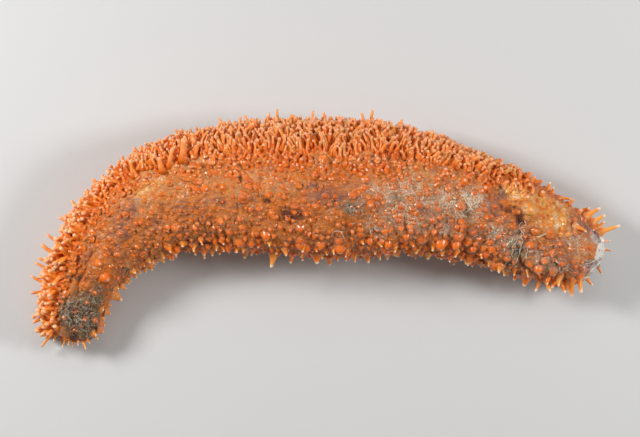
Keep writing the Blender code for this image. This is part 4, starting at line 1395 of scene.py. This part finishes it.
def build_granules(sizes):
    """The finest warts between the others, one joined mesh over both flanks and the back."""
    rng = np.random.default_rng(17)
    s, phi = both_flanks(rng, (2 * MM, BODY.length - 3 * MM), sizes.grain_pitch)
    s, phi = keep(BODY.tube(s, phi)[:, 2] > 0.8 * MM, s, phi)
    here = markings(s, phi)
    bare = here["pale"] + 0.4 * here["cap"]
    s, phi = keep(rng.random(len(s)) > 0.8 * np.minimum(bare, 1), s, phi)
    count = len(s)
    size = draw(rng, 0.24, 0.46, count) * MM
    height = size * draw(rng, 0.3, 0.8, count)
    bend = (draw(rng, -0.4, 0.4, count), draw(rng, -0.4, 0.4, count))
    chance = rng.random(count)
    vivid = chance**1.5 * (1 - 0.7 * smooth(0.5, 0.68, s / BODY.length))
    values = {"chance": chance, "colour": vivid}
    return grow(
        "granules", s, phi, GRAIN_PROFILE, height, size, still(count), bend, GRAIN_SIDES, values,
        draw(rng, 1.0, 1.6, count), draw(rng, 0, math.pi, count),
    )


STUB_BAND = math.radians(27)  # how far over the flanks the stubby feet reach
STUB_START = -0.05
STUB_PITCH = 1.6 * MM


def build_stubs():
    """Short stubby feet that thin out from the edge of the sole over the flanks."""
    rng = np.random.default_rng(19)
    reach = (3 * MM, BODY.length * 0.86)
    s, phi = both_flanks(rng, reach, STUB_PITCH, STUB_START, STUB_BAND)
    past = (from_sole(phi) - BODY.sole_edge(s, phi)) / STUB_BAND
    here = markings(s, phi)
    wanted = 1.15 - 0.8 * past - 0.75 * np.minimum(here["pale"], 1)
    chosen = (rng.random(len(s)) < wanted) & (BODY.tube(s, phi)[:, 2] > MM)
    s, phi, past = keep(chosen, s, phi, past)
    count = len(s)
    length = draw(rng, 0.9, 2.2, count) * MM * (1 - 0.4 * past)
    thick = draw(rng, 0.38, 0.66, count) * MM
    side = np.sign(phi)
    sideways = side * (draw(rng, -0.6, 0.1, count) - 0.5 * (1 - past))
    leans = (draw(rng, -0.5, 0.5, count), sideways)
    bend = (draw(rng, -0.3, 0.3, count), draw(rng, -0.3, 0.3, count))
    values = {"chance": rng.random(count), "colour": np.ones(count)}
    return grow("stub_feet", s, phi, STUB_PROFILE, length, thick, leans, bend, STUB_SIDES, values)


PAPILLA_PITCH = 4.6 * MM
PAPILLA_BAND = (math.radians(146), math.radians(214))  # angles between which they stand


def build_papillae(sizes):
    """Papillae as joined meshes: those in the outline of the back, those at both ends, and a
    scatter of smaller ones over the back and the lower flank."""
    rng = np.random.default_rng(21)
    tips = np.array([tip for tip, _ in EDGE_CONES], float)
    s, phi, reach = tips_to_roots(tips, -1)
    thick = np.array([size for _, size in EDGE_CONES])
    number = len(tips)
    phi = phi - draw(rng, -0.04, 0.12, number)
    length = reach + 0.35 * MM
    leans = [draw(rng, -0.12, 0.12, number), draw(rng, 0.0, 0.2, number)]

    def edges(where):
        return PAPILLA_BAND

    reach_s = (3 * MM, BODY.length - 5 * MM)
    more_s, more_phi = scatter(rng, reach_s, edges, PAPILLA_PITCH, 0.36)
    more = len(more_s)
    share = more_s / BODY.length
    far = smooth(0.8, 0.95, share)
    s = join(s, more_s)
    phi = join(phi, more_phi)
    thick = join(thick, draw(rng, 0.55, 0.9, more))
    length = join(length, draw(rng, 1.0, 2.2, more) * MM * (1 + 0.5 * far))
    leans = [join(lean, draw(rng, -0.2, 0.2, more)) for lean in leans]
    clear = BODY.tube(s, phi)[:, 2] > 1.6 * MM
    s, phi, thick, length, one, two = keep(clear, s, phi, thick, length, *leans)
    count = len(s)
    bend = (draw(rng, -0.12, 0.12, count), draw(rng, -0.12, 0.12, count))
    values = {"chance": rng.random(count)}
    wide = thick * sizes.cone_thickness
    back = grow(
        "back_papillae", s, phi, BROAD_PROFILE, length, wide, (one, two), bend, CONE_SIDES, values
    )
    vent = aimed("vent_papillae", LEANING_CONES, CONE_PROFILE, sizes.cone_thickness, rng)
    return [back, vent]


def aimed(name, rows, profile, thickness, rng):
    """Pieces that each run from the skin under the root's pixel to a tip at another pixel, a
    little higher or lower, with a bend near the root."""
    roots = np.array([root for root, _, _ in rows], float)
    tips = np.array([tip for _, tip, _ in rows], float)
    size = np.array([size for _, _, size in rows])
    s, phi = BODY.place(roots)
    start = BODY.skin(s, phi)
    count = len(s)
    height = start[:, 2:] + draw(rng, -0.4, 1.4, (count, 1)) * MM
    run = np.concatenate([from_picture(tips), height], 1) - start
    length = np.linalg.norm(run, axis=-1)
    _, tangent, _ = BODY.axes(s)
    rise = unit(unit(run) + BODY.normal(s, phi) * 0.35)
    bend = unit(run) - rise
    radii = profile[:, 1][None, :] * (size * thickness)[:, None]
    centres = lift(paths(profile, start, rise, length, bend), radii)
    side = unit(tangent + BODY.around(s, phi) * 0.3)
    values = {"chance": draw(rng, 0.4, 1.0, count)}
    even = np.ones(count)
    return sprouts(name, s, phi, profile, centres, radii, side, even, AIMED_SIDES, values)


# Threads listed one by one: pixels that each goes through
THREADS = (
    ((463, 190), (468, 196), (472, 203), (469, 210), (463, 214)),
    ((474, 192), (478, 198), (476, 205), (470, 208)),
    ((481, 196), (477, 203), (480, 210), (475, 214)), ((466, 199), (472, 196), (479, 199)),
    ((455, 216), (462, 222), (468, 219), (474, 224)),
    ((521, 222), (518, 228), (521, 233), (516, 238)),
    ((523, 238), (520, 246), (516, 252), (511, 257)),
    ((512, 240), (514, 250), (513, 262), (508, 270)), ((523, 246), (524, 254), (522, 262)),
    ((510, 246), (516, 244), (523, 247)), ((536, 237), (542, 235), (547, 232)),
    ((558, 262), (563, 266), (560, 272)), ((583, 268), (589, 262), (597, 258), (604, 252)),
    ((579, 264), (585, 267), (586, 273)), ((457, 253), (461, 259), (464, 265)),
    ((466, 256), (470, 261), (467, 264)), ((131, 265), (124, 274), (118, 283), (112, 291)),
    ((129, 264), (121, 272), (114, 284), (107, 297)),
    ((126, 268), (119, 276), (113, 287), (105, 300)), ((88, 233), (80, 245), (74, 258)),
    ((98, 262), (101, 266), (99, 271)), ((330, 236), (336, 230), (342, 234), (340, 240)),
    ((365, 222), (370, 230), (371, 236)), ((384, 222), (389, 228), (387, 235)),
    ((404, 205), (410, 209), (418, 207), (424, 211)), ((436, 214), (444, 218), (451, 215)),
    ((178, 240), (190, 242), (202, 240), (213, 242)),
)

# Thicker ones among them, and how much thicker
THICK_SHARE = 1.9
THICK_THREADS = (
    ((519, 237), (514, 243), (512, 250), (513, 258)),
    ((517, 240), (521, 246), (519, 254), (516, 262), (511, 269)),
    ((526, 243), (527, 250), (524, 258)), ((513, 240), (506, 244), (503, 250)),
    ((524, 222), (520, 228), (514, 231)), ((536, 238), (541, 235), (546, 233)),
    ((583, 269), (588, 263), (595, 260), (602, 255)), ((584, 270), (588, 275), (594, 277)),
    ((552, 265), (556, 261), (560, 266), (557, 271)),
    ((452, 204), (457, 208), (461, 214), (466, 217)), ((464, 212), (470, 206), (476, 202)),
    ((463, 199), (467, 205), (471, 210)),
)


THREAD_STEPS = 11  # rings of each thread
THREAD_TRIES = 30000  # places that are tried for the short threads


def thread_paths(rng):
    """Places along every thread, as s and phi (N, K): those listed, evenly spaced on their lines
    with a small waver, and many short ones that start where the fuzz is thick and wander."""
    at = np.linspace(0, 1, THREAD_STEPS)
    drawn = []
    for line in (*THICK_THREADS, *THREADS):
        s, phi = BODY.place(line)
        knots = np.linspace(0, 1, len(line))
        drawn.append(natural_spline(knots, np.stack([s, phi], -1), at))
    drawn = np.stack(drawn)
    drawn[..., 0] += rng.normal(0, 0.2 * MM, drawn.shape[:2])

    s = draw(rng, 2 * MM, BODY.length - 4 * MM, THREAD_TRIES)
    phi = draw(rng, -math.pi, math.pi, THREAD_TRIES)
    found = markings(s, phi)
    wanted = found["fuzz"] ** 1.3 + 0.45 * found["bloom"] ** 2 + 0.12 * found["mauve"]
    wanted += 0.3 * found["cap"] + 0.012
    chosen = rng.random(THREAD_TRIES) < 0.26 * wanted * (found["feet"] < 0.5)
    s, phi = keep(chosen & (BODY.tube(s, phi)[:, 2] > 2 * MM), s, phi)
    count = len(s)
    heading = draw(rng, 0, TURN, (count, 1))
    heading = heading + np.cumsum(rng.normal(0, 0.6, (count, THREAD_STEPS)), 1)
    pace = draw(rng, 0.09, 0.28, (count, 1)) * MM
    wander_s = s[:, None] + np.cumsum(np.cos(heading) * pace, 1)
    wander_phi = phi[:, None] + np.cumsum(np.sin(heading) * pace, 1) / BODY.radius(s)[:, None]
    wander = np.stack([wander_s, wander_phi], -1)
    return drawn, wander


def build_threads(sizes):
    """Threads and fibres as one joined mesh: thin tubes just over the skin that rise and dip."""
    rng = np.random.default_rng(40)
    drawn, wander = thread_paths(rng)
    s, phi = np.moveaxis(join(drawn, wander), -1, 0)
    s = np.clip(s, 0.5 * MM, BODY.length - 0.5 * MM)
    count, steps = s.shape
    point = BODY.skin(s.ravel(), phi.ravel()).reshape(count, steps, 3)
    normal = BODY.normal(s.ravel(), phi.ravel()).reshape(count, steps, 3)
    size = join(draw(rng, 0.75, 1.1, len(drawn)), draw(rng, 0.5, 0.95, len(wander)))
    size[: len(THICK_THREADS)] *= THICK_SHARE
    radii = sizes.thread_thickness * size[:, None] * draw(rng, 0.75, 1.25, (count, steps))
    arch = 0.25 * MM * np.sin(np.linspace(0, math.pi, steps))
    rise = radii * 0.6 + arch * draw(rng, 0, 1, (count, 1))
    centres = point + normal * rise[..., None]
    centres[..., 2] = np.maximum(centres[..., 2], radii + FLOOR_CLEAR)
    profile = np.stack([np.linspace(0, 1, steps), np.ones(steps)], -1)
    values = {"chance": rng.random(count)}
    return sprouts(
        "threads", s[:, 0], phi[:, 0], profile, centres, radii, normal[:, 0], np.ones(count),
        THREAD_SIDES, values,
    )


# Operators


class CUCUMBER_OT_skin(bpy.types.Operator):
    """Build the skin over the whole body"""

    bl_idname = "cucumber.skin"
    bl_label = "Skin"

    def execute(self, context):
        BODY.warts = wart_places(context.scene.cucumber_sizes)
        skin = settle(build_skin(), skin_finish(colours_of(context)))
        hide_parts(*NODES)
        return {"FINISHED"}


class CUCUMBER_OT_tube_feet(bpy.types.Operator):
    """Build the tube feet that crowd the sole"""

    bl_idname = "cucumber.tube_feet"
    bl_label = "Tube Feet"

    def execute(self, context):
        finish = foot_finish(colours_of(context))
        for piece in tube_feet(context.scene.cucumber_sizes):
            settle(piece, finish)
        return {"FINISHED"}


class CUCUMBER_OT_warts(bpy.types.Operator):
    """Build the warts and low domes of the flanks"""

    bl_idname = "cucumber.warts"
    bl_label = "Warts"

    def execute(self, context):
        sizes = context.scene.cucumber_sizes
        finish = wart_finish(colours_of(context))
        BODY.warts = wart_places(sizes)
        for piece in build_warts(BODY.warts, sizes):
            settle(piece, finish)
        return {"FINISHED"}


class CUCUMBER_OT_fine_warts(bpy.types.Operator):
    """Build the finest warts and the stubby feet at the edge of the sole"""

    bl_idname = "cucumber.fine_warts"
    bl_label = "Fine Warts"

    def execute(self, context):
        sizes = context.scene.cucumber_sizes
        finish = wart_finish(colours_of(context))
        for piece in (build_granules(sizes), build_stubs()):
            settle(piece, finish)
        return {"FINISHED"}


class CUCUMBER_OT_papillae(bpy.types.Operator):
    """Build the cone-shaped papillae of the back and of the vent"""

    bl_idname = "cucumber.papillae"
    bl_label = "Papillae"

    def execute(self, context):
        finish = cone_finish(colours_of(context))
        back, vent = build_papillae(context.scene.cucumber_sizes)
        settle(back, finish)
        settle(vent, finish)
        return {"FINISHED"}


class CUCUMBER_OT_threads(bpy.types.Operator):
    """Build the fine pale threads that cling to the skin"""

    bl_idname = "cucumber.threads"
    bl_label = "Threads"

    def execute(self, context):
        piece = build_threads(context.scene.cucumber_sizes)
        settle(piece, thread_finish(colours_of(context)))
        return {"FINISHED"}


# Lights: name, place, target, size, the property that holds the power, and its share
LIGHTS = (
    ("left_light", (-0.42, 0.16, 0.34), (-0.02, 0, 0.02), 0.14, "key_power", 1.7),
    ("right_light", (0.44, 0.05, 0.34), (0.02, 0, 0.02), 0.14, "key_power", 1.1),
    ("top_light", (0.0, 0.55, 0.75), (0, 0, 0.02), 0.5, "fill_power", 1.0),
)


def aim_light(name, place, target, size, power):
    """A square soft light at a place, turned to a target."""
    light = bpy.data.lights.new(name, "AREA")
    light.size = size
    light.energy = power
    obj = bpy.data.objects.new(name, light)
    bpy.context.scene.collection.objects.link(obj)
    away = unit(np.array(place, float) - np.array(target, float))
    tilt = math.acos(away[2])
    obj.location = place
    obj.rotation_euler = (0.0, tilt, math.atan2(away[1], away[0]))


class CUCUMBER_OT_stage(bpy.types.Operator):
    """Set the pale floor, the soft lights and the camera"""

    bl_idname = "cucumber.stage"
    bl_label = "Stage"

    def execute(self, context):
        scene, stage = context.scene, context.scene.cucumber_stage
        half = stage.floor_size / 2
        corners = np.array([(-half, -half), (half, -half), (half, half), (-half, half)])
        mesh = bpy.data.meshes.new("floor")
        mesh.from_pydata(np.column_stack([corners, np.zeros(4)]).tolist(), [], [(0, 1, 2, 3)])
        mesh.materials.append(floor_finish())
        floor = bpy.data.objects.new("floor", mesh)
        scene.collection.objects.link(floor)

        for name, place, target, size, power, share in LIGHTS:
            aim_light(name, place, target, size, getattr(stage, power) * share)

        world = bpy.data.worlds.new("studio")
        world.use_nodes = True
        background = world.node_tree.nodes["Background"].inputs
        background["Color"].default_value = (1.0, 0.98, 0.95, 1)
        background["Strength"].default_value = stage.sky
        scene.world = world
        scene.view_settings.view_transform = "Standard"

        camera = bpy.data.cameras.new("camera")
        plane = float(BODY.rest_height(np.array(BODY.length / 2)))
        camera.lens = camera.sensor_width * (stage.camera_height - plane) / (PICTURE_WIDTH * PIXEL)
        camera.clip_end = 10.0
        eye = bpy.data.objects.new("camera", camera)
        x, y = from_picture(PICTURE_MIDDLE)
        eye.location = (x, y, stage.camera_height)
        scene.collection.objects.link(eye)
        scene.camera = eye
        return {"FINISHED"}


class CUCUMBER_PT_panel(bpy.types.Panel):
    """The sea cucumber's sizes, colours and steps"""

    bl_idname = "CUCUMBER_PT_panel"
    bl_label = "Sea Cucumber"
    bl_space_type = "VIEW_3D"
    bl_region_type = "UI"
    bl_category = "Sea Cucumber"

    def draw(self, context):
        layout = self.layout
        for key, group in GROUPS:
            box = layout.box()
            for name in group.__annotations__:
                box.prop(getattr(context.scene, key), name)
        for step in STEPS:
            layout.operator(step.bl_idname)


GROUPS = (
    ("cucumber_sizes", CucumberSizes),
    ("cucumber_colours", CucumberColours),
    ("cucumber_stage", CucumberStage),
)
STEPS = (
    CUCUMBER_OT_skin,
    CUCUMBER_OT_tube_feet,
    CUCUMBER_OT_warts,
    CUCUMBER_OT_fine_warts,
    CUCUMBER_OT_papillae,
    CUCUMBER_OT_threads,
    CUCUMBER_OT_stage,
)


def register():
    """Registers the properties, the operators and the panel."""
    for name, group in GROUPS:
        bpy.utils.register_class(group)
        setattr(bpy.types.Scene, name, bpy.props.PointerProperty(type=group))
    for cls in (*STEPS, CUCUMBER_PT_panel):
        bpy.utils.register_class(cls)


def unregister():
    """Undoes register."""
    for cls in reversed((*STEPS, CUCUMBER_PT_panel)):
        bpy.utils.unregister_class(cls)
    for name, group in reversed(GROUPS):
        delattr(bpy.types.Scene, name)
        bpy.utils.unregister_class(group)


BODY = Body()


def main():
    """Builds everything in order."""
    register()
    bpy.ops.cucumber.skin()
    bpy.ops.cucumber.tube_feet()
    bpy.ops.cucumber.warts()
    bpy.ops.cucumber.fine_warts()
    bpy.ops.cucumber.papillae()
    bpy.ops.cucumber.threads()
    bpy.ops.cucumber.stage()


if __name__ == "__main__":
    main()
